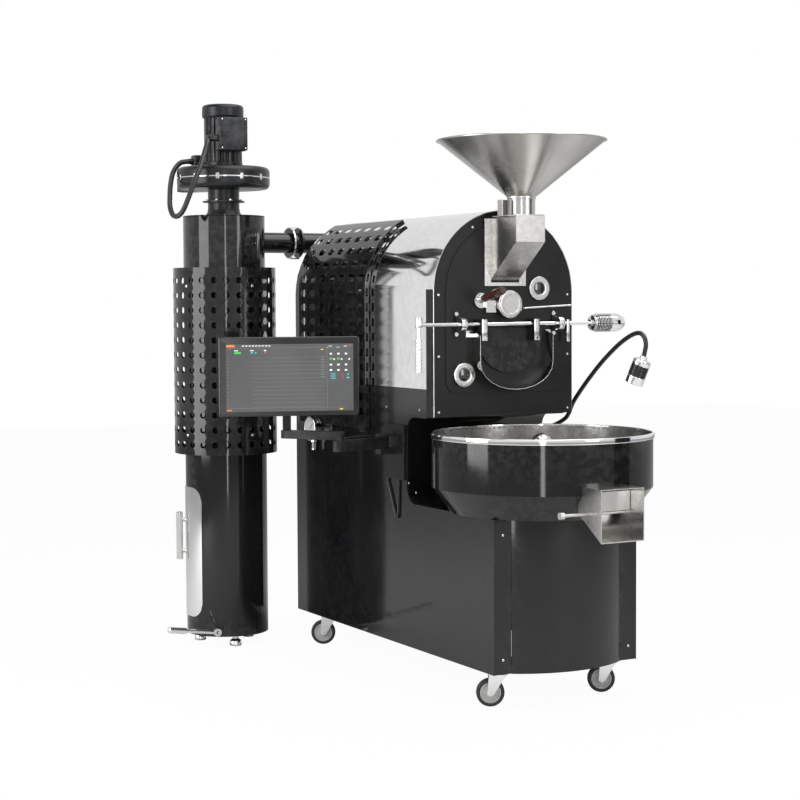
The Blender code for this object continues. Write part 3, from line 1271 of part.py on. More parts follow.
def lamp():
    base = along_x(LAMP_BASE_Y, LAMP_BASE_Z, HALF)
    aim = Vector(LAMP_AIM_SHARES).normalized()
    path = [(HALF + out, y, z) for out, y, z in LAMP_ROUTE]
    tip = Vector(path[-1]) + aim * 2 * LAMP_TUBE_RADIUS
    route = [*smooth_path(path, LAMP_STEPS), tip]
    piece("lamp_gooseneck", BLACK_SATIN, pipe(route, LAMP_TUBE_RADIUS, STEPS_TINY),
          joins=[rod(LAMP_BASE_RADIUS, GAP, LAMP_BASE_DEPTH + LAMP_TUBE_RADIUS, base, STEPS)])
    at = facing(aim, tip)
    radius = LAMP_HEAD_RADIUS
    length = LAMP_HEAD_LENGTH
    bevel = LAMP_HEAD_CUP / 3
    profile = [(0, GAP), (LAMP_SOCKET_RADIUS, GAP), (radius - bevel, LAMP_HEAD_CUP / 2), (radius, LAMP_HEAD_CUP),
               (radius, length - bevel), (radius - bevel, length), (radius - 2 * bevel, length),
               (radius - 3 * bevel, length - LAMP_HEAD_CUP), (0, length - LAMP_HEAD_CUP)]
    piece("lamp_head", CHROME, turned(profile, STEPS_ROUND, at))


# Screen and its arm

def screen_frame(back):
    """Matrix with X across the screen, Y up it and Z out of its front, some way behind the front face."""
    place = Vector(SCREEN_CENTRE) + SCREEN_BACK * back
    turn = Matrix((SCREEN_SIDE, Vector((0, 0, 1)), -SCREEN_BACK)).transposed().to_4x4()
    return Matrix.Translation(place) @ turn


def rounded(width, height, corner, steps=4):
    """Rectangle with round corners about the middle."""
    points = []
    for i, (sx, sy) in enumerate(((1, 1), (-1, 1), (-1, -1), (1, -1))):
        centre = (sx * (width / 2 - corner), sy * (height / 2 - corner))
        points += arc(centre, corner, i * QUARTER, (i + 1) * QUARTER, steps)
    return points


def tilt_pivot():
    return Vector(SCREEN_CENTRE) + SCREEN_BACK * SCREEN_PIVOT_BACK


def screen():
    width, height = SCREEN_SIZE
    boss_w, boss_h, boss_d = SCREEN_BOSS
    ear = TILT_FORK / 2 - FORK_SHEET - TILT_PLAY
    at = screen_frame(0)
    plate_back = -SCREEN_DEPTH - boss_d
    knuckle = at @ Matrix.Translation((0, 0, -SCREEN_PIVOT_BACK)) @ Matrix.Rotation(QUARTER, 4, "Y")
    piece("screen", BLACK_SATIN, slab(rounded(width, height, SCREEN_CORNER), -SCREEN_DEPTH, 0, at),
          joins=[block((-boss_w / 2, -boss_h / 2, plate_back), (boss_w / 2, boss_h / 2, -SCREEN_DEPTH + LAP), at),
                 block((-ear, -RISER_SECTION / 3, -SCREEN_PIVOT_BACK), (ear, RISER_SECTION / 3, plate_back + LAP), at),
                 rod(RISER_SECTION / 2, -ear, ear, knuckle)],
          cuts=[rod(bore_for(TILT_PIN_RADIUS), -TILT_FORK, TILT_FORK, knuckle)],
          pivot=tilt_pivot())


def wall_pivot():
    return Vector((-HALF - WALL_PLATE_SHEET - ARM_PIVOT_OUT, WALL_PLATE_Y, ARM_Z_LEVEL))


def elbow_pivot():
    return Vector((*ARM_ELBOW, ARM_Z_LEVEL))


def wall_bracket():
    width, height = WALL_PLATE_SIZE
    outer = -HALF - GAP
    y = WALL_PLATE_Y
    z_top = ARM_Z_LEVEL + WALL_PLATE_RISE
    z_low = z_top - height
    pivot = wall_pivot()
    arm_half = LINK_HEIGHT / 2
    bar = ARM_BLOCK / 2
    ears = [block((pivot.x - bar, y - bar, pivot.z + arm_half + GAP), (outer - LAP, y + bar, pivot.z + arm_half + bar / 2)),
            block((pivot.x - bar, y - bar, pivot.z - arm_half - bar), (outer - LAP, y + bar, pivot.z - arm_half - GAP))]
    pin = rod(ARM_PIN_RADIUS, -arm_half - bar / 2, arm_half + bar / 3, Matrix.Translation(pivot))
    piece("wall_bracket", BLACK_SATIN,
          block((outer - WALL_PLATE_SHEET, y - width / 2, z_low), (outer, y + width / 2, z_top)),
          joins=[ears, pin])


def link_matrix(start, end):
    """Matrix with X from the start pivot to the end pivot and Z up."""
    way = end - start
    return Matrix.Translation(start) @ Matrix.Rotation(atan2(way.y, way.x), 4, "Z")


def stadium(length):
    """Outline of a link with round ends about its two pivots."""
    radius = ARM_KNUCKLE_RADIUS
    half = STEPS_SMALL // 2
    return arc((0, 0), radius, QUARTER, 3 * QUARTER, half) + arc((length, 0), radius, -QUARTER, QUARTER, half)


def rear_link():
    start = wall_pivot()
    length = (elbow_pivot() - start).length
    half = LINK_HEIGHT / 2
    bore = bore_for(ARM_PIN_RADIUS)
    holes = [arc((x, 0), bore, 0, 2 * pi, STEPS_SMALL)[:-1] for x in (0, length)]
    piece("rear_link", BLACK_SATIN,
          slab(stadium(length), -half, half, link_matrix(start, elbow_pivot()), holes), pivot=start)


def front_link():
    start = elbow_pivot()
    end = tilt_pivot()
    end.z = start.z
    at = link_matrix(start, end)
    low = LINK_HEIGHT / 2 + GAP
    high = low + RISER_SECTION
    ear = TILT_FORK / 2
    inside = ear - FORK_SHEET
    eye = RISER_SECTION / 2
    seat = -eye - RISER_SECTION / 3
    reach = start.z + high - SCREEN_CENTRE[2]
    fork = [(-ear, eye), (-ear, seat - FORK_SHEET), (ear, seat - FORK_SHEET), (ear, eye), (inside, eye),
            (inside, seat), (-inside, seat), (-inside, eye)]
    fork_at = screen_frame(SCREEN_PIVOT_BACK)
    post = eye - LAP
    piece("front_link", BLACK_SATIN, slab(stadium((end - start).length), low, high, at),
          joins=[rod(ARM_PIN_RADIUS, -LINK_HEIGHT / 2, low + LAP, at),
                 block((-post, reach - LAP, -post), (post, seat - LAP, post), fork_at),
                 slab(fork, -eye, eye, fork_at),
                 rod(TILT_PIN_RADIUS, -ear - LAP, ear + LAP, fork_at @ Matrix.Rotation(QUARTER, 4, "Y"))],
          pivot=start)


# Cyclone column

def pie(turn, half, radius):
    """Wedge outline about the column's axis."""
    return [(0, 0)] + arc((0, 0), radius, turn - half, turn + half, STEPS_SMALL)


def column_shell():
    wall = COLUMN_WALL
    radius = COLUMN_RADIUS
    neck = NECK_FOOT_RADIUS - VOLUTE_SHEET
    profile = [(0, COLUMN_BOTTOM), (radius, COLUMN_BOTTOM), (radius, COLUMN_TOP), (neck, COLUMN_TOP),
               (neck, COLUMN_TOP - wall), (radius - wall, COLUMN_TOP - wall), (radius - wall, COLUMN_BOTTOM + wall),
               (0, COLUMN_BOTTOM + wall)]
    at = Matrix.Translation(column_side(0))
    feet = [rod(COLUMN_FOOT_RADIUS, 0, COLUMN_BOTTOM + LAP, at @ Matrix.Translation(column_way(t) * COLUMN_FOOT_RING))
            for t in COLUMN_FOOT_TURNS]
    low, high = COLUMN_DOOR_Z
    hatch = slab(pie(COLUMN_DOOR_FACING, HATCH_HALF, radius + OVERRUN), low + HATCH_MARGIN, high - HATCH_MARGIN, at)
    inlet = rod(DUCT_RADIUS - DUCT_WALL, radius / 2, radius + OVERRUN, at @ along_x(0, DUCT_Z), STEPS)
    x, y, z = LEVER_PIVOT
    start = COLUMN_Y - sqrt(radius ** 2 - (x - COLUMN_X) ** 2) + wall
    pin = rod(AXLE_RADIUS, y - PEDAL_EYE_WIDTH, start, along_y(x, z), STEPS_TINY)
    piece("column_shell", BLACK_GLOSS, turned(profile, STEPS_LARGE, at), joins=[feet, pin], cuts=[hatch, inlet])


def ring_sector(radius, sheet, low, high, turn, half, steps=STEPS_SMALL):
    outer = arc((0, 0), radius + sheet, turn - half, turn + half, steps)
    inner = arc((0, 0), radius, turn + half, turn - half, steps)
    return slab(outer + inner, low, high, Matrix.Translation(column_side(0)))


def column_door():
    low, high = COLUMN_DOOR_Z
    turn = COLUMN_DOOR_FACING
    radius = COLUMN_RADIUS + GAP * 2
    height = high - low
    out = column_way(turn)
    wide = 2 * radius * sin(COLUMN_DOOR_HALF)
    corner = wide * COLUMN_DOOR_CORNER_SHARE
    mid = column_side((low + high) / 2) + out * radius / 2
    bound = Matrix.Translation(mid) @ Matrix.Rotation(turn - QUARTER, 4, "Z") @ Matrix.Rotation(-QUARTER, 4, "X")
    sheet = COLUMN_DOOR_SHEET
    bar_low, bar_high = COLUMN_HANDLE_Z
    bar_out = radius + COLUMN_HANDLE_OUT
    centre = column_side(0) + out * bar_out
    bar = COLUMN_HANDLE_RADIUS
    posts = [rod(bar / 2, radius + sheet / 2, bar_out,
                 Matrix.Translation(column_side(z)) @ Matrix.Rotation(turn, 4, "Z") @ Matrix.Rotation(QUARTER, 4, "Y"))
             for z in (bar_low + 2 * bar, bar_high - 2 * bar)]
    hinge = turn - COLUMN_DOOR_HALF
    pivot = column_side(low) + column_way(hinge) * (radius + sheet * 2)
    skin = ring_sector(radius, sheet, low - OVERRUN, high + OVERRUN, turn, COLUMN_DOOR_HALF + OVERRUN / radius)
    piece("column_door", CHROME, skin,
          keeps=[slab(rounded(wide, height, corner), 0, radius, bound)],
          joins=[posts, rod(bar, bar_low, bar_high, Matrix.Translation(centre))], pivot=pivot)


def column_guard():
    low, high = COLUMN_GUARD_Z
    turn = COLUMN_GUARD_FACING
    half = COLUMN_GUARD_HALF
    at = Matrix.Translation(column_side(0))
    legs = []
    for end in (turn - half, turn + half):
        lean = at @ Matrix.Rotation(end, 4, "Z")
        side = COLUMN_GUARD_SHEET * (1 if end < turn else -1)
        legs.append(block((COLUMN_RADIUS + GAP, min(0, side), low),
                          (COLUMN_GUARD_RADIUS + COLUMN_GUARD_SHEET / 2, max(0, side), high), lean))
    piece("column_guard", BLACK_SATIN,
          ring_sector(COLUMN_GUARD_RADIUS, COLUMN_GUARD_SHEET, low, high, turn, half, STEPS), joins=[legs])


def lift_lever():
    x, y, z = LEVER_PIVOT
    at = Matrix.Translation(LEVER_PIVOT) @ Matrix.Rotation(PEDAL_RISE - QUARTER, 4, "Y")
    grip = PEDAL_LENGTH - PEDAL_GRIP_LENGTH
    end = PEDAL_LENGTH
    bevel = PEDAL_GRIP_RADIUS / 3
    profile = [(0, 0), (PEDAL_RADIUS, 0), (PEDAL_RADIUS, grip), (PEDAL_GRIP_RADIUS, grip + bevel),
               (PEDAL_GRIP_RADIUS, end - bevel), (PEDAL_GRIP_RADIUS - bevel, end), (0, end)]
    width = PEDAL_EYE_WIDTH / 2
    piece("lift_lever", CHROME, rod(PEDAL_EYE_RADIUS, y - width, y + width, along_y(x, z), STEPS),
          joins=[turned(profile, STEPS_SMALL, at)],
          cuts=[rod(bore_for(AXLE_RADIUS), y - OVERRUN, y + OVERRUN, along_y(x, z))],
          pivot=LEVER_PIVOT)


# Blower

def volute_corner(z, start, end):
    """Rounded corner of the volute's section, from one turn to another."""
    middle = VOLUTE_RADIUS - VOLUTE_CORNER
    return [(middle + VOLUTE_CORNER * cos(t), z + VOLUTE_CORNER * sin(t))
            for t in [start + (end - start) * i / 2 for i in range(3)]]


def blower_housing():
    base = COLUMN_TOP + GAP
    flare = base + NECK_FLARE_HEIGHT
    flange = flare + NECK_FLANGE
    sheet = VOLUTE_SHEET
    low = VOLUTE_BOTTOM
    high = low + VOLUTE_HEIGHT - VOLUTE_COVER
    cover = high + VOLUTE_COVER
    outer = VOLUTE_RADIUS
    hole = bore_for(IMPELLER_SHAFT_RADIUS, STEPS, RING_PLAY)
    low_centre = low + VOLUTE_CORNER
    high_centre = high - VOLUTE_CORNER
    outside = ([(NECK_FOOT_RADIUS, base), (NECK_FLARE_RADIUS, flare), (NECK_FLANGE_RADIUS, flare),
                (NECK_FLANGE_RADIUS, flange), (NECK_RADIUS, flange), (NECK_RADIUS, low)]
               + volute_corner(low_centre, -QUARTER, 0) + volute_corner(high_centre, 0, QUARTER)
               + [(VOLUTE_COVER_RADIUS, high), (VOLUTE_COVER_RADIUS - VOLUTE_COVER, cover), (hole, cover)])
    inner = outer - 2 * sheet
    inside = ([(hole, high - sheet), (outer - VOLUTE_CORNER, high - sheet), (inner, high_centre), (inner, low_centre),
               (outer - VOLUTE_CORNER, low + sheet)]
              + [(NECK_RADIUS - sheet, low + sheet), (NECK_RADIUS - sheet, flange), (NECK_FOOT_RADIUS - sheet, base)])
    at = Matrix.Translation(column_side(0))
    tall, wide = VOLUTE_OUTLET
    mouth = at @ Matrix.Rotation(VOLUTE_OUTLET_TURN, 4, "Z")
    mid = (low + high) / 2
    near = outer - wide
    far = outer + VOLUTE_OUTLET_LENGTH
    duct = block((near, 0, mid - tall / 2), (outer - LAP, far, mid + tall / 2), mouth)
    bore = block((near + sheet, OVERRUN, mid - tall / 2 + sheet),
                 (outer - LAP - sheet, far + OVERRUN, mid + tall / 2 - sheet), mouth)
    room = rod(outer - VOLUTE_CORNER, low + sheet, high - sheet, at, STEPS)
    x, y = CABLE_BOX_AT
    box_x, box_y, box_z = CABLE_BOX
    box = block((x - box_x / 2, y - box_y / 2, high - LAP), (x + box_x / 2, y + box_y / 2, high + box_z))
    piece("blower_housing", DARK_GREY, turned(outside + inside, STEPS, at), joins=[duct, box],
          cuts=[bore, room])


def blower_impeller():
    high = VOLUTE_BOTTOM + VOLUTE_HEIGHT - VOLUTE_SHEET - STIR_CLEARANCE
    plate = high - IMPELLER_SHEET
    shaft_top = VOLUTE_BOTTOM + VOLUTE_HEIGHT + MOTOR_FLANGE + OVERRUN
    hub = IMPELLER_SHAFT_RADIUS * 2
    low = high - IMPELLER_HEIGHT
    profile = [(0, low), (hub, low), (hub, plate), (IMPELLER_RADIUS, plate), (IMPELLER_RADIUS, high),
               (IMPELLER_SHAFT_RADIUS, high), (IMPELLER_SHAFT_RADIUS, shaft_top), (0, shaft_top)]
    at = Matrix.Translation(column_side(0))
    blades = [block((hub * 2, -IMPELLER_SHEET / 2, low), (IMPELLER_RADIUS - LAP, IMPELLER_SHEET / 2, plate + LAP),
                    at @ Matrix.Rotation(2 * pi * i / IMPELLER_BLADES, 4, "Z")) for i in range(IMPELLER_BLADES)]
    piece("blower_impeller", STAINLESS, turned(profile, STEPS_ROUND, at), joins=[blades], pivot=column_side(high))


def gland_matrix():
    """Gland on the left side of the motor's terminal box, with Z pointing out of it."""
    wide, deep, tall = BOX_TERMINAL
    middle = VOLUTE_BOTTOM + VOLUTE_HEIGHT + GAP + MOTOR_FLANGE + MOTOR_LENGTH / 2 + TERMINAL_RISE
    low = middle - tall * GLAND_DEPTH_SHARE / 2
    side = Matrix.Translation(column_side(low)) @ Matrix.Rotation(TERMINAL_TURN, 4, "Z")
    return side @ Matrix.Translation((MOTOR_RADIUS + deep / 2, -wide / 2, 0)) @ Matrix.Rotation(QUARTER, 4, "X")


def blower_motor():
    base = VOLUTE_BOTTOM + VOLUTE_HEIGHT + GAP
    body = base + MOTOR_FLANGE
    cap = body + MOTOR_LENGTH
    top = cap + MOTOR_CAP_LENGTH
    bore = bore_for(IMPELLER_SHAFT_RADIUS, STEPS)
    depth = base + MOTOR_FLANGE + OVERRUN + GAP * 2
    core = MOTOR_RADIUS - MOTOR_FIN
    round_off = MOTOR_CAP_RADIUS / 5
    profile = [(bore, base), (MOTOR_FLANGE_RADIUS, base), (MOTOR_FLANGE_RADIUS, body), (core, body), (core, cap),
               (MOTOR_CAP_RADIUS, cap), (MOTOR_CAP_RADIUS, top - round_off), (MOTOR_CAP_RADIUS - round_off, top),
               (0, top), (0, depth), (bore, depth)]
    at = Matrix.Translation(column_side(0))
    ribs = []
    for i in range(MOTOR_FIN_COUNT):
        turn = 2 * pi * i / MOTOR_FIN_COUNT
        foot, crest = (share * 2 * pi / MOTOR_FIN_COUNT for share in MOTOR_FIN_SHARES)
        for radius, angle in ((core - LAP, turn - foot), (MOTOR_RADIUS, turn - crest),
                              (MOTOR_RADIUS, turn + crest), (core - LAP, turn + foot)):
            ribs.append((radius * cos(angle), radius * sin(angle)))
    wide, deep, tall = BOX_TERMINAL
    side = at @ Matrix.Rotation(TERMINAL_TURN, 4, "Z")
    low = body + (MOTOR_LENGTH - tall) / 2 + TERMINAL_RISE
    box = block((core, -wide / 2, low), (MOTOR_RADIUS + deep, wide / 2, low + tall), side)
    piece("blower_motor", DARK_GREY, turned(profile, STEPS, at),
          joins=[slab(ribs, body - LAP, cap + LAP, at, holes=[arc((0, 0), core - 3 * LAP, 0, 2 * pi, STEPS_ROUND)[:-1]]),
                 box, rod(GLAND_RADIUS, -LAP, GLAND_LENGTH, gland_matrix())])


# Duct

def exhaust_duct():
    bend = DUCT_BEND
    corner = (DUCT_END_X - bend, COLUMN_Y - bend)
    turns = [QUARTER - QUARTER * i / 6 for i in range(7)]
    start = COLUMN_X + COLUMN_RADIUS - OVERRUN
    end = BODY_REAR + GAP
    path = ([(start, COLUMN_Y, DUCT_Z)] + [(corner[0] + bend * cos(t), corner[1] + bend * sin(t), DUCT_Z) for t in turns]
            + [(DUCT_END_X, end, DUCT_Z)])
    bore = DUCT_RADIUS - DUCT_WALL
    seam = DUCT_RADIUS - DUCT_WALL / 2
    rings = [sleeve(DUCT_FLANGE_RADIUS, seam, x, x + DUCT_FLANGE, along_x(COLUMN_Y, DUCT_Z), STEPS_ROUND)
             for x in DUCT_FLANGE_X]
    foot = sleeve(DUCT_FLANGE_RADIUS, seam, end, end + DUCT_FLANGE, along_y(DUCT_END_X, DUCT_Z), STEPS_ROUND)
    column = rod(COLUMN_RADIUS + GAP, DUCT_Z - 2 * DUCT_FLANGE_RADIUS, DUCT_Z + 2 * DUCT_FLANGE_RADIUS,
                 Matrix.Translation(column_side(0)), STEPS_LARGE)
    piece("exhaust_duct", BLACK_GLOSS, pipe(path, DUCT_RADIUS, STEPS_ROUND, bore), joins=[rings, foot], cuts=[column])


# Cables

def motor_cable():
    gland = gland_matrix()
    start = gland @ Vector((0, 0, GLAND_LENGTH + GAP))
    lead = gland @ Vector((0, 0, GLAND_LENGTH + GAP + 2 * MOTOR_CABLE_RADIUS))
    x, y = CABLE_BOX_AT
    z = VOLUTE_BOTTOM + VOLUTE_HEIGHT - VOLUTE_COVER + CABLE_ENTRY_RISE
    end = Vector((x - CABLE_BOX[0] / 2 - GAP, y, z))
    tail = end - Vector((2 * MOTOR_CABLE_RADIUS, 0, 0))
    cable("motor_cable", RUBBER, [start, lead, *MOTOR_CABLE_ROUTE, tail, end], MOTOR_CABLE_RADIUS, MOTOR_CABLE_POINTS)


def screen_cable():
    x = -HALF - GAP - WALL_PLATE_SHEET / 2
    top = ARM_Z_LEVEL + WALL_PLATE_RISE - WALL_PLATE_SIZE[1] - GAP
    route = [(x, y, z) for _, y, z in SCREEN_CABLE_ROUTE]
    near, far = SCREEN_CABLE_ROUTE[0][1], SCREEN_CABLE_ROUTE[-1][1]
    lead = top - 2 * SCREEN_CABLE_RADIUS
    points = [(x, near, top), (x, near, lead), *route, (x, far, lead), (x, far, top)]
    cable("screen_cable", RUBBER, points, SCREEN_CABLE_RADIUS, SCREEN_CABLE_POINTS)


# Finishes

def make_finishes():
    global BLACK_GLOSS, BLACK_SATIN, CHROME, STAINLESS, DARK_STEEL, CAST_IRON, MOTOR_GREY, DARK_GREY
    global FRAME_STEEL, WOOD, RUBBER
    BLACK_GLOSS = finish("black_gloss_paint", (0.012, 0.012, 0.013), 0.12)
    BLACK_SATIN = finish("black_satin_paint", (0.020, 0.020, 0.021), 0.42)
    CHROME = finish("mirror_chrome", (0.80, 0.80, 0.81), 0.06, 1.0)
    STAINLESS = finish("brushed_stainless", (0.66, 0.65, 0.63), 0.24, 1.0)
    DARK_STEEL = finish("heat_darkened_steel", (0.16, 0.15, 0.14), 0.45, 1.0)
    CAST_IRON = finish("cast_iron", (0.06, 0.06, 0.06), 0.60, 0.8)
    MOTOR_GREY = finish("motor_grey_paint", (0.16, 0.17, 0.18), 0.40)
    DARK_GREY = finish("dark_grey_paint", (0.035, 0.037, 0.042), 0.35)
    FRAME_STEEL = finish("frame_paint", (0.030, 0.030, 0.030), 0.50)
    WOOD = finish("dark_turned_wood", (0.075, 0.028, 0.015), 0.45)
    RUBBER = finish("black_rubber", (0.018, 0.018, 0.018), 0.70)


def centre_on_footprint():
    """Shift the whole machine so that its origin is the middle of its footprint, on the floor."""
    view = bpy.context.evaluated_depsgraph_get()
    shown = [thing for thing in bpy.context.scene.objects if thing.type == "MESH" and not thing.hide_render]
    places = [thing.matrix_world @ Vector(corner) for thing in shown for corner in thing.evaluated_get(view).bound_box]
    low = Vector(min(place[i] for place in places) for i in range(3))
    high = Vector(max(place[i] for place in places) for i in range(3))
    ORIGIN.location = (-(low.x + high.x) / 2, -(low.y + high.y) / 2, 0)
    print("footprint centre moved by", [round(v, 5) for v in ORIGIN.location],
          "size", [round(v, 4) for v in high - low])


def build():
    global ORIGIN
    clear_scene()
    make_finishes()
    ORIGIN = bpy.data.objects.new("machine_origin", None)
    bpy.context.collection.objects.link(ORIGIN)
    base_frame()
    side_panel("left_side_panel", -1)
    side_panel("right_side_panel", 1)
    front_panel()
    cabinet_deck()
    rear_panel()
    front_plate()
    arch_cover()
    heat_guard()
    roasting_drum()
    bearing_cap()
    drum_motor()
    gas_burner()
    sight_ring("upper_sight_ring", UPPER_SIGHT)
    sight_ring("lower_sight_ring", LOWER_SIGHT)
    probe_rod()
    trier_guide()
    trier()
    door()
    door_shaft()
    door_handle()
    door_bracket("door_bracket_left", BRACKET_X[0])
    door_bracket("door_bracket_right", BRACKET_X[1])
    discharge_chute()
    feed_box()
    feed_gate()
    feed_hopper()
    feed_frame()
    bin_shell()
    bin_rim()
    bin_floor()
    agitator()
    agitator_motor()
    outlet_box()
    outlet_gate()
    for end, y in (("front", CASTER_FRONT_Y), ("rear", CASTER_REAR_Y)):
        for side, x in (("left", -CASTER_X), ("right", CASTER_X)):
            caster(f"{end}_{side}_caster", x, y)
    lamp()
    screen()
    wall_bracket()
    rear_link()
    front_link()
    column_shell()
    column_door()
    column_guard()
    lift_lever()
    blower_housing()
    blower_impeller()
    blower_motor()
    exhaust_duct()
    motor_cable()
    screen_cable()
    bpy.context.view_layer.update()
    centre_on_footprint()


build()
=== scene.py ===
# %% [markdown]
# A shop coffee roaster, dressed from its CAD frame.
# The CAD model gives every place and every joint. Here each part gets the skin that a maker would give it.
# Big bent sheets are painted gloss black, the drum cover is mirror-polished, and the front plate is satin
# black.

# %% Load the frame
import bpy
import bmesh
from math import cos, pi, radians, sin, tau
from mathutils import Matrix, Vector


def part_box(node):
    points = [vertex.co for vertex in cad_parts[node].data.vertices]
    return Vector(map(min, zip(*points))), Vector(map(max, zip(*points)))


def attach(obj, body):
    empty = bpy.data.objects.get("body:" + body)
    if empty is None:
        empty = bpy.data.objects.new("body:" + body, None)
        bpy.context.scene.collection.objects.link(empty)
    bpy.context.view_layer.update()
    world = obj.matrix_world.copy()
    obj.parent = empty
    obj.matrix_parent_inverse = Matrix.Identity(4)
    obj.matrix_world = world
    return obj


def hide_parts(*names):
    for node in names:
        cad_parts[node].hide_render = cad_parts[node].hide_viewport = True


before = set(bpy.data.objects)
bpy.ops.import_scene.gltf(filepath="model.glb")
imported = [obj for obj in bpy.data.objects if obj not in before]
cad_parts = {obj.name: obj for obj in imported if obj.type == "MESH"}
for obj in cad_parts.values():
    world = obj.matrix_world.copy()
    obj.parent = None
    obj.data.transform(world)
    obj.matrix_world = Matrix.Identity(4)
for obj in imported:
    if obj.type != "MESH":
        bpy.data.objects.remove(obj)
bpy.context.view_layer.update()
rear_low, rear_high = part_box("rear_panel")
SHIFT = Vector(((rear_low.x + rear_high.x) / 2, rear_high.y - 1.172, 0))
print("nodes", len(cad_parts), "shift", tuple(round(v, 4) for v in SHIFT))

# %% [markdown]
# All numbers below are in the machine's own frame. X is 0 at the middle of the body, Y is 0 at the front
# plate,
# and Z is 0 on the floor. SHIFT moves them to the frame of the CAD model.

# %% Sizes shared by several pieces
HALF = 0.300
REAR = 1.172
ARCH_Z = 1.451
BAND = 0.056
FACE = -0.0043
COLUMN = Vector((-0.578, 1.272, 0))
COLUMN_R = 0.169
GUARD_R = 0.212
BIN = Vector((0, -0.252, 0))
HOPPER = Vector((-0.002, -0.123, 0))
SCREEN = Vector((-0.735, 0.300, 1.146))
SCREEN_YAW = radians(-18)
CREASE = 32
CRISP = radians(34)


def at(x, y, z):
    return Vector((x, y, z)) + SHIFT


# %% [markdown]
# The camera stands where the photographer's did. It was solved from the outlines of the body, the bin and
# the column.

# %% Camera
YAW, PITCH, ROLL = radians(28.4795), radians(2.9264), radians(0.3)
ahead = Vector((sin(YAW) * cos(PITCH), cos(YAW) * cos(PITCH), -sin(PITCH)))
side = Vector((cos(YAW), -sin(YAW), 0))
top = side.cross(ahead)
side, top = side * cos(ROLL) - top * sin(ROLL), side * sin(ROLL) + top * cos(ROLL)
camera_data = bpy.data.cameras.new("camera")
camera_data.lens = 81.04
camera_data.sensor_width = 36
camera_data.shift_x = 0.0
camera_data.shift_y = -0.0094
camera_data.clip_end = 60
camera = bpy.data.objects.new("camera", camera_data)
turn = Matrix((side, top, -ahead)).transposed().to_4x4()
camera.matrix_world = Matrix.Translation(at(-3.51732, -5.67234, 1.42178)) @ turn
bpy.context.scene.collection.objects.link(camera)
bpy.context.scene.camera = camera
print("camera", tuple(round(v, 3) for v in camera.location))


# %% [markdown]
# Four small node groups hold the marks that every finish shares: soft clouds, fine grain, edge wear with a
# painted edge highlight, and dust.

# %% Shared effects
def effect(name, sockets, outputs, build):
    tree = bpy.data.node_groups.new(name, "ShaderNodeTree")
    for label, kind, value in sockets:
        socket = tree.interface.new_socket(label, in_out="INPUT", socket_type=kind)
        if value is not None:
            socket.default_value = value
    for label, kind in outputs:
        tree.interface.new_socket(label, in_out="OUTPUT", socket_type=kind)
    build(tree, tree.nodes.new("NodeGroupInput").outputs, tree.nodes.new("NodeGroupOutput").inputs)
    return tree


def node(tree, kind, links=(), **values):
    made = tree.nodes.new(kind)
    for key, value in values.items():
        setattr(made, key, value)
    for socket, source in dict(links).items():
        if hasattr(source, "is_output"):
            tree.links.new(source, made.inputs[socket])
        else:
            made.inputs[socket].default_value = source
    return made


def span(tree, value, low, high, start=0.0, end=1.0, smooth=True):
    return node(tree, "ShaderNodeMapRange", {"Value": value, "From Min": low, "From Max": high,
        "To Min": start,
                "To Max": end}, interpolation_type="SMOOTHSTEP" if smooth else "LINEAR").outputs["Result"]


def product(tree, a, b):
    return node(tree, "ShaderNodeMath", {0: a, 1: b}, operation="MULTIPLY").outputs[0]


def clouds(tree, given, out):
    noise = node(tree, "ShaderNodeTexNoise", {"Vector": given["Vector"], "Scale": given["Scale"],
        "Detail": 5.0,
                 "Roughness": 0.6})
    tree.links.new(span(tree, noise.outputs["Fac"], 0.36, 0.66), out["Mask"])


def grain(tree, given, out):
    stretched = node(tree, "ShaderNodeVectorMath", {0: given["Vector"], 1: given["Stretch"]},
        operation="MULTIPLY")
    fine = node(tree, "ShaderNodeTexNoise", {"Vector": stretched.outputs[0], "Scale": given["Scale"],
        "Detail": 3.0,
                "Roughness": 0.55})
    tree.links.new(fine.outputs["Fac"], out["Height"])


# Painted edge highlight mixed with edge wear: a mask on sharp convex edges, broken up by noise.
def edge_wear_and_highlight(tree, given, out):
    edge = node(tree, "ShaderNodeNewGeometry").outputs["Pointiness"]
    noise = node(tree, "ShaderNodeTexNoise", {"Vector": given["Vector"], "Scale": 38.0, "Detail": 4.0})
    sharp = span(tree, edge, 0.52, 0.60)
    patchy = span(tree, noise.outputs["Fac"], 0.42, 0.62)
    tree.links.new(product(tree, sharp, patchy), out["Mask"])


def dust(tree, given, out):
    normal = node(tree, "ShaderNodeNewGeometry").outputs["Normal"]
    height = node(tree, "ShaderNodeSeparateXYZ", {"Vector": normal}).outputs["Z"]
    noise = node(tree, "ShaderNodeTexNoise", {"Vector": given["Vector"], "Scale": 21.0, "Detail": 6.0})
    up = span(tree, height, 0.55, 1.0)
    tree.links.new(product(tree, up, span(tree, noise.outputs["Fac"], 0.40, 0.72)), out["Mask"])


VECTOR, FLOAT = "NodeSocketVector", "NodeSocketFloat"
CLOUDS = effect("soft_clouds", [("Vector", VECTOR, None), ("Scale", FLOAT, 4.0)], [("Mask", FLOAT)], clouds)
GRAIN = effect("fine_grain", [("Vector", VECTOR, None), ("Stretch", VECTOR, (1, 1, 1)), ("Scale", FLOAT,
    400.0)],
               [("Height", FLOAT)], grain)
EDGE_WEAR_AND_HIGHLIGHT = effect("edge_wear_and_painted_highlight", [("Vector", VECTOR, None)], [("Mask", FLOAT)], edge_wear_and_highlight)
DUST = effect("settled_dust", [("Vector", VECTOR, None)], [("Mask", FLOAT)], dust)
print("effects", [g.name for g in bpy.data.node_groups])
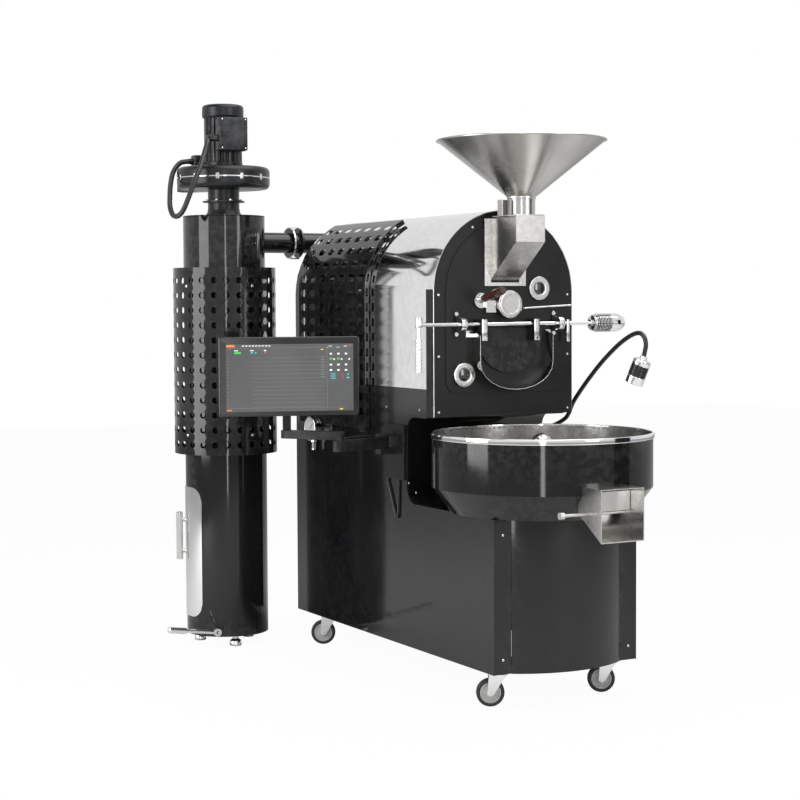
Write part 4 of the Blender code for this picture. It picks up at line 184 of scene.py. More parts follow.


# %% [markdown]
# A finish is two close colours mixed by clouds, a rough range that follows the grain, and a fine bump.
# Edges are painted brighter, partly as worn paint and partly as a painted edge highlight, and flat tops carry
# a little dust.

# %% Finishes
def mixed(tree, mask, a, b):
    made = node(tree, "ShaderNodeMix", {0: mask}, data_type="RGBA")
    for socket, value in ((6, a), (7, b)):
        if hasattr(value, "is_output"):
            tree.links.new(value, made.inputs[socket])
        else:
            made.inputs[socket].default_value = (*value, 1)
    return made.outputs[2]


def shared(tree, group, **links):
    made = node(tree, "ShaderNodeGroup", node_tree=group)
    for label, source in links.items():
        if hasattr(source, "is_output"):
            tree.links.new(source, made.inputs[label])
        else:
            made.inputs[label].default_value = source
    return made.outputs[0]


def finish(name, base, other, rough, metallic=0.0, coat=0.0, clouds_scale=3.0, stretch=(1, 1, 1), scale=420.0,
           bump=0.04, depth=0.0004, edge=None, edge_wear_and_highlight_amount=0.5, dusty=0.06, colour_hook=None, **extra):
    made = bpy.data.materials.new(name)
    made.use_nodes = True
    tree = made.node_tree
    shader = tree.nodes["Principled BSDF"]
    where = node(tree, "ShaderNodeTexCoord").outputs["Object"]
    cloud = shared(tree, CLOUDS, Vector=where, Scale=clouds_scale)
    fine = shared(tree, GRAIN, Vector=where, Stretch=stretch, Scale=scale)
    colour = mixed(tree, cloud, base, other)
    if colour_hook:
        colour = colour_hook(tree, where, colour)
    # Painted edge highlight and edge wear: sharp edges take the lighter edge colour.
    if edge:
        colour = mixed(tree, product(tree, shared(tree, EDGE_WEAR_AND_HIGHLIGHT, Vector=where), edge_wear_and_highlight_amount), colour, edge)
    colour = mixed(tree, product(tree, shared(tree, DUST, Vector=where), dusty), colour, (0.42, 0.40, 0.37))
    tree.links.new(colour, shader.inputs["Base Color"])
    blend = node(tree, "ShaderNodeMath", {0: fine, 1: cloud, 2: 0.5}, operation="MULTIPLY_ADD").outputs[0]
    tree.links.new(span(tree, blend, 0.2, 1.1, rough[0], rough[1], smooth=False), shader.inputs["Roughness"])
    bumped = node(tree, "ShaderNodeBump", {"Height": fine, "Strength": bump, "Distance": depth})
    tree.links.new(bumped.outputs["Normal"], shader.inputs["Normal"])
    shader.inputs["Metallic"].default_value = metallic
    shader.inputs["Coat Weight"].default_value = coat
    for label, value in extra.items():
        shader.inputs[label.replace("_", " ")].default_value = value
    return made


# The edge colours below are painted edge highlights as well as edge wear.
GLOSS = finish("gloss_black_paint", (0.006, 0.006, 0.007), (0.010, 0.010, 0.011), (0.04, 0.09), coat=0.0,
               clouds_scale=2.2, scale=230.0, bump=0.05, edge=(0.04, 0.04, 0.04), Specular_IOR_Level=0.42)
SATIN = finish("satin_black_paint", (0.011, 0.011, 0.012), (0.017, 0.017, 0.018), (0.30, 0.44),
    clouds_scale=6.0,
               scale=700.0, bump=0.10, edge=(0.07, 0.07, 0.07), Specular_IOR_Level=0.22)
CHROME = finish("mirror_chrome", (0.82, 0.82, 0.83), (0.78, 0.78, 0.79), (0.03, 0.09), 1.0, clouds_scale=3.0,
                scale=90.0, bump=0.015, edge=(0.9, 0.9, 0.9), dusty=0.02)
STEEL = finish("brushed_stainless", (0.60, 0.59, 0.57), (0.52, 0.51, 0.50), (0.16, 0.34), 1.0,
    clouds_scale=5.0,
               stretch=(1, 1, 34), scale=60.0, bump=0.10, edge=(0.8, 0.8, 0.79), dusty=0.03)
SPUN = finish("spun_stainless", (0.55, 0.54, 0.52), (0.46, 0.45, 0.44), (0.14, 0.30), 1.0, clouds_scale=4.0,
              stretch=(1, 1, 22), scale=70.0, bump=0.08, edge=(0.8, 0.8, 0.79), dusty=0.03)
POLISHED = finish("polished_stainless", (0.66, 0.65, 0.63), (0.60, 0.59, 0.58), (0.08, 0.20), 1.0,
    clouds_scale=14.0,
                  scale=300.0, bump=0.05, edge=(0.85, 0.85, 0.84), dusty=0.02)
HOT_STEEL = finish("heat_darkened_steel", (0.17, 0.155, 0.14), (0.10, 0.085, 0.08), (0.28, 0.5), 1.0,
    clouds_scale=9.0,
                   scale=240.0, bump=0.2, edge=(0.3, 0.29, 0.28))
IRON = finish("cast_iron", (0.055, 0.055, 0.056), (0.035, 0.034, 0.034), (0.5, 0.72), 0.6, clouds_scale=12.0,
              scale=420.0, bump=0.5, depth=0.0012, edge=(0.16, 0.15, 0.15), dusty=0.2)
MOTOR = finish("dark_motor_enamel", (0.010, 0.011, 0.013), (0.015, 0.016, 0.018), (0.20, 0.34),
    clouds_scale=10.0,
               scale=520.0, bump=0.16, depth=0.0006, edge=(0.10, 0.10, 0.11), Specular_IOR_Level=0.3)
GREY = finish("grey_motor_enamel", (0.15, 0.16, 0.17), (0.19, 0.20, 0.21), (0.26, 0.40), clouds_scale=10.0,
              scale=480.0, bump=0.16, edge=(0.35, 0.35, 0.35), dusty=0.15)
FRAME_PAINT = finish("frame_paint", (0.022, 0.022, 0.022), (0.03, 0.03, 0.03), (0.34, 0.52), clouds_scale=7.0,
                     scale=420.0, bump=0.2, edge=(0.14, 0.13, 0.12), dusty=0.2)
RUBBER = finish("black_rubber", (0.016, 0.016, 0.016), (0.024, 0.024, 0.024), (0.45, 0.66), clouds_scale=24.0,
                scale=800.0, bump=0.25, edge=(0.05, 0.05, 0.05), dusty=0.18)
SHEATH = finish("cable_sheath", (0.013, 0.013, 0.014), (0.019, 0.019, 0.020), (0.28, 0.42), clouds_scale=26.0,
                scale=640.0, bump=0.12, dusty=0.1)
NYLON = finish("pale_nylon", (0.46, 0.46, 0.45), (0.38, 0.38, 0.37), (0.28, 0.42), clouds_scale=30.0,
    scale=500.0,
               bump=0.10, edge=(0.6, 0.6, 0.6), dusty=0.1)
DARK = finish("shadowed_gap", (0.004, 0.004, 0.004), (0.006, 0.006, 0.006), (0.6, 0.8), clouds_scale=12.0,
    bump=0.05)
BEZEL = finish("screen_bezel", (0.008, 0.008, 0.009), (0.011, 0.011, 0.012), (0.18, 0.28), clouds_scale=9.0,
               scale=900.0, bump=0.06, edge=(0.06, 0.06, 0.06), dusty=0.04)
print("finishes", len(bpy.data.materials))


# %% [markdown]
# The wooden grip of the bean sampler is turned from a dark wood. Rings of a wave texture run along the grip.

# %% Turned wood, glass and lens
def wood_rings(tree, where, colour):
    warped = node(tree, "ShaderNodeTexWave", {"Vector": where, "Scale": 55.0, "Distortion": 7.0,
        "Detail": 4.0},
                  wave_type="RINGS", rings_direction="Y")
    return mixed(tree, span(tree, warped.outputs["Fac"], 0.25, 0.85), colour, (0.022, 0.009, 0.006))


WOOD = finish("dark_turned_wood", (0.085, 0.032, 0.017), (0.055, 0.020, 0.011), (0.16, 0.30),
    clouds_scale=30.0,
              stretch=(8, 1, 8), scale=160.0, bump=0.14, edge=(0.16, 0.07, 0.04), coat=0.5, dusty=0.02,
              colour_hook=wood_rings)
GLASS = finish("sight_glass", (0.03, 0.035, 0.035), (0.02, 0.024, 0.024), (0.02, 0.06), clouds_scale=12.0,
    scale=80.0,
               bump=0.01, dusty=0.03, coat=1.0)
LENS = finish("lamp_lens", (0.50, 0.53, 0.56), (0.34, 0.37, 0.40), (0.05, 0.16), clouds_scale=60.0,
    scale=300.0,
              bump=0.2, coat=1.0, dusty=0.0)
GAUGE_FACE = finish("gauge_face", (0.62, 0.62, 0.60), (0.55, 0.55, 0.53), (0.24, 0.34), clouds_scale=30.0,
                    scale=500.0, bump=0.04, coat=0.8, dusty=0.02)
print("wood, glass, lens and gauge face made")


# %% [markdown]
# Most parts of the roaster are turned, rolled or cut from sheet, so three makers do nearly all the work.
# turned() spins a profile, tube() sweeps a round bar, and slab() cuts a flat outline. soft() rounds the
# corners.

# %% Makers
def soft(points, radius, closed=False, cuts=4):
    spots = [Vector(p) for p in points]
    made = []
    for i, spot in enumerate(spots):
        if not closed and i in (0, len(spots) - 1):
            made.append(spot)
            continue
        before, after = spots[i - 1], spots[(i + 1) % len(spots)]
        reach = min(radius, (before - spot).length * 0.45, (after - spot).length * 0.45)
        if reach < 1e-6:
            made.append(spot)
            continue
        a, b = spot + (before - spot).normalized() * reach, spot + (after - spot).normalized() * reach
        for k in range(cuts + 1):
            t = k / cuts
            made.append(a * (1 - t) ** 2 + spot * 2 * t * (1 - t) + b * t ** 2)
    return made


def facing(axis):
    return Vector((0, 0, 1)).rotation_difference(Vector(axis)).to_matrix().to_4x4()


def placed(centre, axis=(0, 0, 1), spin=0.0):
    return Matrix.Translation(Vector(centre)) @ facing(axis) @ Matrix.Rotation(spin, 4, "Z")


def turned(bm, profile, centre=(0, 0, 0), axis=(0, 0, 1), steps=96, start=0.0, sweep=tau, place=None):
    place = place or placed(centre, axis)
    full = sweep > tau - 1e-6
    count = steps if full else steps + 1
    rows = [[bm.verts.new(place @ Vector((p[0] * cos(start + sweep * i / steps),
        p[0] * sin(start + sweep * i / steps),
             p[1]))) for p in profile] for i in range(count)]
    for i in range(steps):
        a, b = rows[i], rows[(i + 1) % count]
        for j in range(len(profile) - 1):
            bm.faces.new((a[j], b[j], b[j + 1], a[j + 1]))
    bmesh.ops.remove_doubles(bm, verts=[v for row in rows for v in row], dist=1e-6)


def tube_mesh(bm, path, radius, steps=16, caps=True):
    spots = [Vector(p) for p in path]
    sizes = radius if isinstance(radius, (list, tuple)) else [radius] * len(spots)
    heading = (spots[1] - spots[0]).normalized()
    up = heading.orthogonal().normalized()
    rings = []
    for i, spot in enumerate(spots):
        ahead_dir = (spots[min(i + 1, len(spots) - 1)] - spots[max(i - 1, 0)]).normalized()
        up = (up - ahead_dir * up.dot(ahead_dir)).normalized()
        across = ahead_dir.cross(up)
        turns = [tau * k / steps for k in range(steps)]
        rings.append([bm.verts.new(spot + (up * cos(a) + across * sin(a)) * sizes[i]) for a in turns])
    for a, b in zip(rings, rings[1:]):
        for k in range(steps):
            bm.faces.new((a[k], a[(k + 1) % steps], b[(k + 1) % steps], b[k]))
    if caps:
        bm.faces.new(rings[0][::-1])
        bm.faces.new(rings[-1])


def slab(bm, outline, low, high, place=Matrix.Identity(4)):
    bottom = [bm.verts.new(place @ Vector((p[0], p[1], low))) for p in outline]
    upper = [bm.verts.new(place @ Vector((p[0], p[1], high))) for p in outline]
    bm.faces.new(bottom[::-1])
    bm.faces.new(upper)
    for i in range(len(outline)):
        j = (i + 1) % len(outline)
        bm.faces.new((bottom[i], bottom[j], upper[j], upper[i]))


def pillow(bm, outline, low, high, place=Matrix.Identity(4), edge=0.002, cuts=3):
    """A slab whose rims are rounded by the size of edge."""
    middle = Vector((sum(p[0] for p in outline) / len(outline), sum(p[1] for p in outline) / len(outline)))
    spots = [Vector((p[0], p[1])) for p in outline]
    half = max(max(abs(p.x - middle.x) for p in spots), 1e-6), max(max(abs(p.y - middle.y) for p in spots),
        1e-6)
    levels = [(low + edge * (1 - cos(pi / 2 * k / cuts)),
        edge * (1 - sin(pi / 2 * k / cuts))) for k in range(cuts + 1)]
    levels += [(high - (z - low), inset) for z, inset in reversed(levels)]
    rings = []
    for z, inset in levels:
        shrink = (1 - inset / half[0], 1 - inset / half[1])
        rings.append([bm.verts.new(place @ Vector((middle.x + (p.x - middle.x) * shrink[0],
                                                   middle.y + (p.y - middle.y) * shrink[1],
                                                   z))) for p in spots])
    bm.faces.new(rings[0][::-1])
    bm.faces.new(rings[-1])
    for a, b in zip(rings, rings[1:]):
        for i in range(len(a)):
            j = (i + 1) % len(a)
            bm.faces.new((a[i], a[j], b[j], b[i]))


def rectangle(width, height, radius=0.0, cuts=4, middle=(0, 0)):
    x, y = middle
    corners = [(x - width / 2, y - height / 2), (x + width / 2, y - height / 2), (x + width / 2,
        y + height / 2),
               (x - width / 2, y + height / 2)]
    corners = [Vector(c) for c in corners]
    return soft(corners, radius, True, cuts) if radius else corners


def block(bm, low, high, edge=0.0015, place=Matrix.Identity(4)):
    width, height = high[0] - low[0], high[1] - low[1]
    middle = ((low[0] + high[0]) / 2, (low[1] + high[1]) / 2)
    pillow(bm, rectangle(width, height, edge * 2, 3, middle), low[2], high[2], place, edge, 2)


def smooth_path(points, cuts=8):
    spots = [Vector(p) for p in points]
    spots = [spots[0] * 2 - spots[1]] + spots + [spots[-1] * 2 - spots[-2]]
    path = []
    for a, b, c, d in zip(spots, spots[1:], spots[2:], spots[3:]):
        for k in range(cuts):
            t = k / cuts
            path.append((b * 2 + (c - a) * t + (a * 2 - b * 5 + c * 4 - d) * t ** 2
                         + (b * 3 - a - c * 3 + d) * t ** 3) / 2)
    return path + [spots[-2]]


MADE = []


def tell(cell):
    """Prints the pieces that a cell has made."""
    print(cell, len(MADE), ", ".join(MADE))
    MADE.clear()


def keep(name, bm, look, body, nodes=(), slot=None, crease=CREASE):
    bmesh.ops.translate(bm, vec=SHIFT, verts=bm.verts)
    bmesh.ops.recalc_face_normals(bm, faces=bm.faces)
    for face in bm.faces:
        face.smooth = True
    for edge in bm.edges:
        if len(edge.link_faces) == 2 and edge.calc_face_angle(0) > radians(crease):
            edge.smooth = False
    mesh = bpy.data.meshes.new(name)
    bm.to_mesh(mesh)
    bm.free()
    made = bpy.data.objects.new(name, mesh)
    mesh.materials.append(look)
    bpy.context.scene.collection.objects.link(made)
    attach(made, body)
    if nodes:
        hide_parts(*nodes)
    MADE.append(name)
    return made


def make(name, look, body, *steps, nodes=(), slot=None, crease=CREASE):
    bm = bmesh.new()
    for step in steps:
        step(bm)
    return keep(name, bm, look, body, nodes, slot, crease)


def thick(made, sheet, offset=-1):
    wall = made.modifiers.new("sheet", "SOLIDIFY")
    wall.thickness = sheet
    wall.offset = offset
    split = made.modifiers.new("crisp", "EDGE_SPLIT")
    split.split_angle = CRISP
    return made


# %% [markdown]
# Fasteners are drawn once and put down many times: a domed screw with its socket, and a hexagon bolt on a
# washer.

# %% Fasteners
def screw(bm, spot, axis, radius=0.005, height=0.003, steps=20):
    socket = radius * 0.45
    turned(bm, [(radius, 0), (radius, height * 0.35), (radius * 0.85, height * 0.8), (radius * 0.6, height),
                (socket, height), (socket * 0.95, height * 0.35), (0, height * 0.30)], spot, axis, steps)


def bolt(bm, spot, axis, across=0.012, height=0.005):
    washer = across * 0.72
    turned(bm, [(washer, 0), (washer, 0.0010), (washer * 0.94, 0.0014), (across * 0.5, 0.0014)], spot, axis,
        20)
    corner = across * 0.577
    turned(bm, [(corner, 0.0012), (corner, height * 0.82), (corner * 0.86, height), (0, height)], spot,
        axis, 6)


def screws(name, look, body, spots, axis, radius=0.005, height=0.003, head=screw, **given):
    bm = bmesh.new()
    for spot in spots:
        head(bm, spot, axis, radius, height)
    return keep(name, bm, look, body, **given)


# %% [markdown]
# Two free cables come first. The motor's cable loops in the air between its gland and the box on the blower.
# The display's cable hangs in a V below the arm's wall plate. Both keep the routes of their CAD solids.

# %% Free cables
def free_cable(name, points, radius, node_name, **facts):
    path = [Vector(points[0]), *smooth_path(points[1:-1], 6), Vector(points[-1])]
    line = bpy.data.curves.new(name, "CURVE")
    line.dimensions = "3D"
    line.bevel_depth = radius
    line.bevel_resolution = 5
    line.use_fill_caps = True
    spline = line.splines.new("POLY")
    spline.points.add(len(path) - 1)
    for spot, place in zip(spline.points, path):
        spot.co = (*(place + SHIFT), 1)
    spline.use_smooth = True
    made = bpy.data.objects.new(name, line)
    line.materials.append(SHEATH)
    bpy.context.scene.collection.objects.link(made)
    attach(made, "machine")
    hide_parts(node_name)
    return made


free_cable("motor_cable_smooth", [
    (-0.6656, 1.1699, 2.0873), (-0.6866, 1.1713, 2.0873), (-0.7, 1.145, 2.066), (-0.715, 1.135, 2.03),
    (-0.746, 1.11, 1.965), (-0.782, 1.095, 1.8934), (-0.81, 1.095, 1.825), (-0.827, 1.105, 1.783),
    (-0.84, 1.13, 1.764), (-0.848, 1.16, 1.772), (-0.845, 1.195, 1.805), (-0.83, 1.235, 1.848),
    (-0.805, 1.29, 1.9), (-0.77, 1.348, 1.956), (-0.73, 1.372, 1.996), (-0.6963, 1.3675, 2.004),
    (-0.6753, 1.3675, 2.004)], 0.0105, "motor_cable", stiffness="medium", lay="loose")
free_cable("screen_cable_smooth", [
    (-0.3053, 0.348, 0.7497), (-0.3053, 0.348, 0.7417), (-0.3053, 0.348, 0.733), (-0.3053, 0.333, 0.706),
    (-0.3053, 0.313, 0.663), (-0.3053, 0.293, 0.622), (-0.3053, 0.28, 0.606), (-0.3053, 0.271, 0.612),
    (-0.3053, 0.268, 0.64), (-0.3053, 0.266, 0.69), (-0.3053, 0.264, 0.73), (-0.3053, 0.264, 0.7417),
    (-0.3053, 0.264, 0.7497)], 0.004, "screen_cable", stiffness="limp", lay="hanging")

# %% [markdown]
# The floor is a plain pale sheet and the light is large and soft, as in a product studio.
# Dark flags stand outside the picture, since polished metal looks like metal only when it has dark to
# reflect.

# %% Studio
def studio_sheet(name, corners, colour, strength=None, camera_sees=True):
    mesh = bpy.data.meshes.new(name)
    mesh.from_pydata([tuple(c) for c in corners], [], [tuple(range(len(corners)))])
    made = bpy.data.objects.new(name, mesh)
    look = bpy.data.materials.new(name)
    look.use_nodes = True
    tree = look.node_tree
    shader = tree.nodes["Principled BSDF"]
    where = node(tree, "ShaderNodeTexCoord").outputs["Object"]
    cloud = shared(tree, CLOUDS, Vector=where, Scale=0.8)
    tree.links.new(mixed(tree, product(tree, cloud, 0.04), colour, tuple(c * 0.9 for c in colour)),
                   shader.inputs["Base Color"])
    shader.inputs["Roughness"].default_value = 0.75
    shader.inputs["Specular IOR Level"].default_value = 0.1
    mesh.materials.append(look)
    bpy.context.scene.collection.objects.link(made)
    made.visible_camera = camera_sees
    return made, tree, shader


_, tree, shader = studio_sheet("studio_floor", [at(-12, -12, 0), at(12, -12, 0), at(12, 14, 0), at(-12, 14,
    0)],
                                   (0.93, 0.93, 0.93))
out = tree.nodes["Material Output"]
seen = node(tree, "ShaderNodeLightPath").outputs["Is Camera Ray"]
glow = node(tree, "ShaderNodeEmission", {"Color": (1, 1, 1, 1), "Strength": 1.0})
part_glow = node(tree, "ShaderNodeMixShader", {0: product(tree, seen, 0.965), 1: shader.outputs[0],
                 2: glow.outputs[0]})
tree.links.new(part_glow.outputs[0], out.inputs["Surface"])


def flag(name, corners):
    made, tree, shader = studio_sheet(name, corners, (0.015, 0.015, 0.015), camera_sees=False)
    made.visible_shadow = False
    made.visible_diffuse = False
    return made


flag("flag_over", [at(-3.4, -0.6, 4.6), at(-1.9, -0.6, 4.9), at(-1.9, 3.2, 4.9), at(-3.4, 3.2, 4.6)])
flag("flag_right", [at(4.0, -4.5, 0.0), at(4.0, -2.2, 0.0), at(4.0, -2.2, 3.4), at(4.0, -4.5, 3.4)])

world = bpy.data.worlds.new("studio")
bpy.context.scene.world = world
world.use_nodes = True
tree = world.node_tree
ray = node(tree, "ShaderNodeLightPath").outputs["Is Camera Ray"]
glossy = node(tree, "ShaderNodeLightPath").outputs["Is Glossy Ray"]
ambient = node(tree, "ShaderNodeMath", {0: glossy, 1: 0.50, 2: 0.34}, operation="MULTIPLY_ADD").outputs[0]
strength = node(tree, "ShaderNodeMath", {0: ray, 1: 0.66, 2: ambient}, operation="MULTIPLY_ADD").outputs[0]
tree.nodes["Background"].inputs["Color"].default_value = (1, 1, 1, 1)
tree.links.new(strength, tree.nodes["Background"].inputs["Strength"])


def soft_box(name, spot, aim, width, height, power):
    data = bpy.data.lights.new(name, "AREA")
    data.shape = "RECTANGLE"
    data.size, data.size_y, data.energy = width, height, power
    made = bpy.data.objects.new(name, data)
    spot, aim = at(*spot), at(*aim)
    made.matrix_world = Matrix.Translation(spot) @ (spot - aim).to_track_quat("Z", "Y").to_matrix().to_4x4()
    bpy.context.scene.collection.objects.link(made)
    made.visible_camera = False
    return made


soft_box("box_over", (0.4, -0.6, 4.6), (0, 0.3, 1.0), 4.2, 3.6, 150)
soft_box("box_left", (-4.6, 0.6, 1.9), (-0.4, 0.6, 1.1), 2.2, 3.0, 110)
soft_box("box_front", (1.6, -5.2, 2.3), (0, 0, 1.1), 1.2, 3.2, 60)
soft_box("strip_column", (-2.6, -4.4, 1.6), (-0.6, 1.2, 1.0), 0.35, 3.4, 26)
scene = bpy.context.scene
scene.view_settings.view_transform = "Standard"

# %% [markdown]
# Flat and boxy CAD parts are right as they are. They get a finish, and a modifier that joins their facets,
# smooths round walls and rolls the sharp edges as a real sheet has them.

# %% CAD parts that stay
def joined_facets():
    tree = bpy.data.node_groups.new("joined_facets", "GeometryNodeTree")
    tree.interface.new_socket("Geometry", in_out="INPUT", socket_type="NodeSocketGeometry")
    tree.interface.new_socket("Geometry", in_out="OUTPUT", socket_type="NodeSocketGeometry")
    given, out = tree.nodes.new("NodeGroupInput"), tree.nodes.new("NodeGroupOutput")
    merged = node(tree, "GeometryNodeMergeByDistance", {"Geometry": given.outputs[0], "Distance": 0.00001})
    bare = node(tree, "GeometryNodeRemoveAttribute", {"Geometry": merged.outputs[0], "Name": "custom_normal"})
    angle = node(tree, "GeometryNodeInputMeshEdgeAngle").outputs["Unsigned Angle"]
    flat = node(tree, "FunctionNodeCompare", {0: angle, 1: radians(32)}, operation="LESS_THAN")
    faces = node(tree, "GeometryNodeSetShadeSmooth", {"Geometry": bare.outputs[0], "Shade Smooth": True},
        domain="FACE")
    edges = node(tree, "GeometryNodeSetShadeSmooth", {"Geometry": faces.outputs[0],
        "Shade Smooth": flat.outputs[0]},
                 domain="EDGE")
    tree.links.new(edges.outputs[0], out.inputs[0])
    return tree


JOINED = joined_facets()


def dress(name, look, roll=0):
    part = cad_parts[name]
    part.data.materials.clear()
    part.data.materials.append(look)
    part.modifiers.new("joined", "NODES").node_group = JOINED
    if roll:
        rolled = part.modifiers.new("rolled", "BEVEL")
        rolled.width, rolled.segments, rolled.limit_method = roll, 2, "ANGLE"
        rolled.angle_limit = radians(40)
        rolled.harden_normals = True


KEPT = {
    "base_frame": (FRAME_PAINT, 0.002), "cabinet_deck": (GLOSS, 0.001), "front_panel": (GLOSS, 0.001),
    "left_side_panel": (GLOSS, 0.001), "right_side_panel": (GLOSS, 0.001), "rear_panel": (GLOSS, 0.001),
    "front_plate": (SATIN, 0.001), "gas_burner": (IRON, 0.0015), "roasting_drum": (HOT_STEEL, 0.001),
    "drum_motor": (GREY, 0.0015), "agitator_motor": (GREY, 0.0015), "wall_bracket": (SATIN, 0.002),
    "rear_link": (SATIN, 0.003), "front_link": (SATIN, 0.003), "door_bracket_left": (SATIN, 0.001),
    "door_bracket_right": (SATIN, 0.001), "discharge_chute": (POLISHED, 0.0005), "feed_box": (STEEL, 0.001),
    "feed_frame": (STEEL, 0.0012), "feed_gate": (STEEL, 0.0008), "outlet_box": (STEEL, 0.0005),
    "outlet_gate": (STEEL, 0.0008), "trier_guide": (POLISHED, 0.0008), "trier_rod": (POLISHED, 0.0005),
    "blower_impeller": (STEEL, 0.0005), "lift_lever": (CHROME, 0.0005),
    "front_left_caster_fork": (CHROME, 0.001), "front_right_caster_fork": (CHROME, 0.001),
    "rear_left_caster_fork": (CHROME, 0.001), "rear_right_caster_fork": (CHROME, 0.001),
}
for name, (look, roll) in KEPT.items():
    dress(name, look, roll)
print("CAD parts kept", len(KEPT))


# %% [markdown]
# The dust column is a rolled steel tube painted gloss black. A hatch is cut in its back, behind the
# chrome door.
# Its wall is rolled here at three degrees a step, so that reflections run straight up the paint.

# %% Dust column
def column_wall(bm):
    for low, high, start, sweep in ((0.045, 0.160, 0, 360), (0.160, 0.615, 201, 288), (0.615, 1.774, 0, 360)):
        turned(bm, [(COLUMN_R, low), (COLUMN_R, high)], COLUMN, steps=sweep // 3, start=radians(start),
               sweep=radians(sweep))
    bmesh.ops.remove_doubles(bm, verts=bm.verts, dist=1e-5)


thick(make("column_barrel", GLOSS, "machine", column_wall, nodes=("column_shell",)), 0.003)


def column_ends(bm):
    lid = [(0.050, 1.7745), *[(p.x, p.y) for p in soft([(0.160, 1.7745), (COLUMN_R, 1.7745), (COLUMN_R,
        1.768)], 0.003)]]
    turned(bm, [(0.050, 1.771), *lid, (0.1655, 1.766), (0.1655, 1.771), (0.050, 1.771)], COLUMN, steps=120)
    floor_line = soft([(0.1655, 0.052), (COLUMN_R, 0.045), (0.160, 0.045)], 0.003)
    turned(bm, [(0, 0.049), (0.1655, 0.049), *floor_line, (0, 0.045)], COLUMN, steps=120)


make("column_ends", GLOSS, "machine", column_ends)


def column_feet(bm):
    for turn in (262, 22, 142):
        spot = COLUMN + Vector((cos(radians(turn)) * 0.120, sin(radians(turn)) * 0.120, 0))
        turned(bm, [(0, 0), (0.022, 0), (0.024, 0.002), (0.024, 0.020), (0.0225, 0.0225), (0.017, 0.026),
                    (0.012, 0.030), (0.012, 0.0452), (0, 0.0452)], spot, steps=48)


make("column_feet", CHROME, "machine", column_feet)
tell("dust column")


# %% [markdown]
# The clean-out door is a curved chrome sheet with round corners that lies on the column.
# A knurled grip stands off it on two short posts.

# %% Column door
def curved_sheet(bm, radius, facing_turn, half, z_low, z_high, corner, sheet=0.003, steps=36):
    wide = half * radius
    columns = [-wide + 2 * wide * i / steps for i in range(steps + 1)]
    rows = []
    for s in columns:
        inset = 0.0
        gap = wide - abs(s)
        if gap < corner:
            inset = corner - (max(corner ** 2 - (corner - gap) ** 2, 0)) ** 0.5
        rows.append((s, z_low + inset, z_high - inset))
    skins = []
    for extra in (0.0, sheet):
        skins.append([[bm.verts.new(COLUMN + Vector(((radius + extra) * cos(facing_turn + s / radius),
                      (radius + extra) * sin(facing_turn + s / radius), low + (high - low) * k / 8)))
                       for k in range(9)] for s, low, high in rows])
    for skin in skins:
        for a, b in zip(skin, skin[1:]):
            for k in range(8):
                bm.faces.new((a[k], b[k], b[k + 1], a[k + 1]))
    inner, outer = skins
    for a, b, c, d in zip(inner, inner[1:], outer, outer[1:]):
        bm.faces.new((a[0], c[0], d[0], b[0]))
        bm.faces.new((a[8], b[8], d[8], c[8]))
    for end in (0, -1):
        for k in range(8):
            bm.faces.new((inner[end][k], inner[end][k + 1], outer[end][k + 1], outer[end][k]))
    bmesh.ops.remove_doubles(bm, verts=bm.verts, dist=1e-7)


door_turn = radians(165)
make("column_door_sheet", CHROME, "cleanout_door",
     lambda bm: curved_sheet(bm, COLUMN_R + 0.0003, door_turn, radians(45), 0.120, 0.656, 0.058),
     nodes=("column_door",))
door_out = Vector((cos(door_turn), sin(door_turn), 0))


def door_grip(bm):
    centre = COLUMN + door_out * (COLUMN_R + 0.003 + 0.026)
    profile = [(0, 0.350), (0.010, 0.350), (0.0125, 0.352)]
    for k in range(25):
        z = 0.354 + 0.192 * k / 24
        profile += [(0.0140, z - 0.0026), (0.0140, z + 0.0012), (0.0128,
            z + 0.0024)] if k < 24 else [(0.014, z)]
    profile += [(0.0125, 0.548), (0.010, 0.550), (0, 0.550)]
    turned(bm, profile, centre, steps=28)
    for z in (0.385, 0.515):
        foot = COLUMN + door_out * (COLUMN_R + 0.001) + Vector((0, 0, z))
        turned(bm, [(0.013, 0), (0.013, 0.003), (0.0085, 0.0045), (0.0075, 0.018), (0.0085, 0.024)], foot,
            door_out, 24)


make("column_door_grip", POLISHED, "cleanout_door", door_grip, slot="mirror_chrome")
tell("column door")


# %% [markdown]
# Both heat guards are punched sheets. Cells with a hole are laid side by side on the flat sheet first,
# then the sheet is rolled: one round the column, the other along the drum cover's side.

# %% Punched sheets
def punched(bm, spots, size, hole, roll, cuts=6):
    """A sheet of cells with a hole each: spots are the cells' middles, size and hole their
    width and height, and roll() puts a flat point in space."""
    w, h = size[0] / 2, size[1] / 2
    r = min(hole) / 2
    steps = 4 * cuts
    for u, v in spots:
        rim, edge = [], []
        for k in range(steps):
            a = tau * k / steps
            stretch = ((hole[0] / 2 - r) * (1 if cos(a) > 0 else -1),
                (hole[1] / 2 - r) * (1 if sin(a) > 0 else -1))
            rim.append((u + r * cos(a) + stretch[0], v + r * sin(a) + stretch[1]))
        border = []
        for ax, ay, bx, by in ((w, -h, w, h), (w, h, -w, h), (-w, h, -w, -h), (-w, -h, w, -h)):
            for k in range(cuts):
                t = k / cuts
                border.append((u + ax + (bx - ax) * t, v + ay + (by - ay) * t))
        border = border[cuts // 2:] + border[:cuts // 2]
        inner = [bm.verts.new(roll(*p)) for p in rim]
        outer = [bm.verts.new(roll(*p)) for p in border]
        for k in range(steps):
            j = (k + 1) % steps
            bm.faces.new((inner[k], inner[j], outer[j], outer[k]))


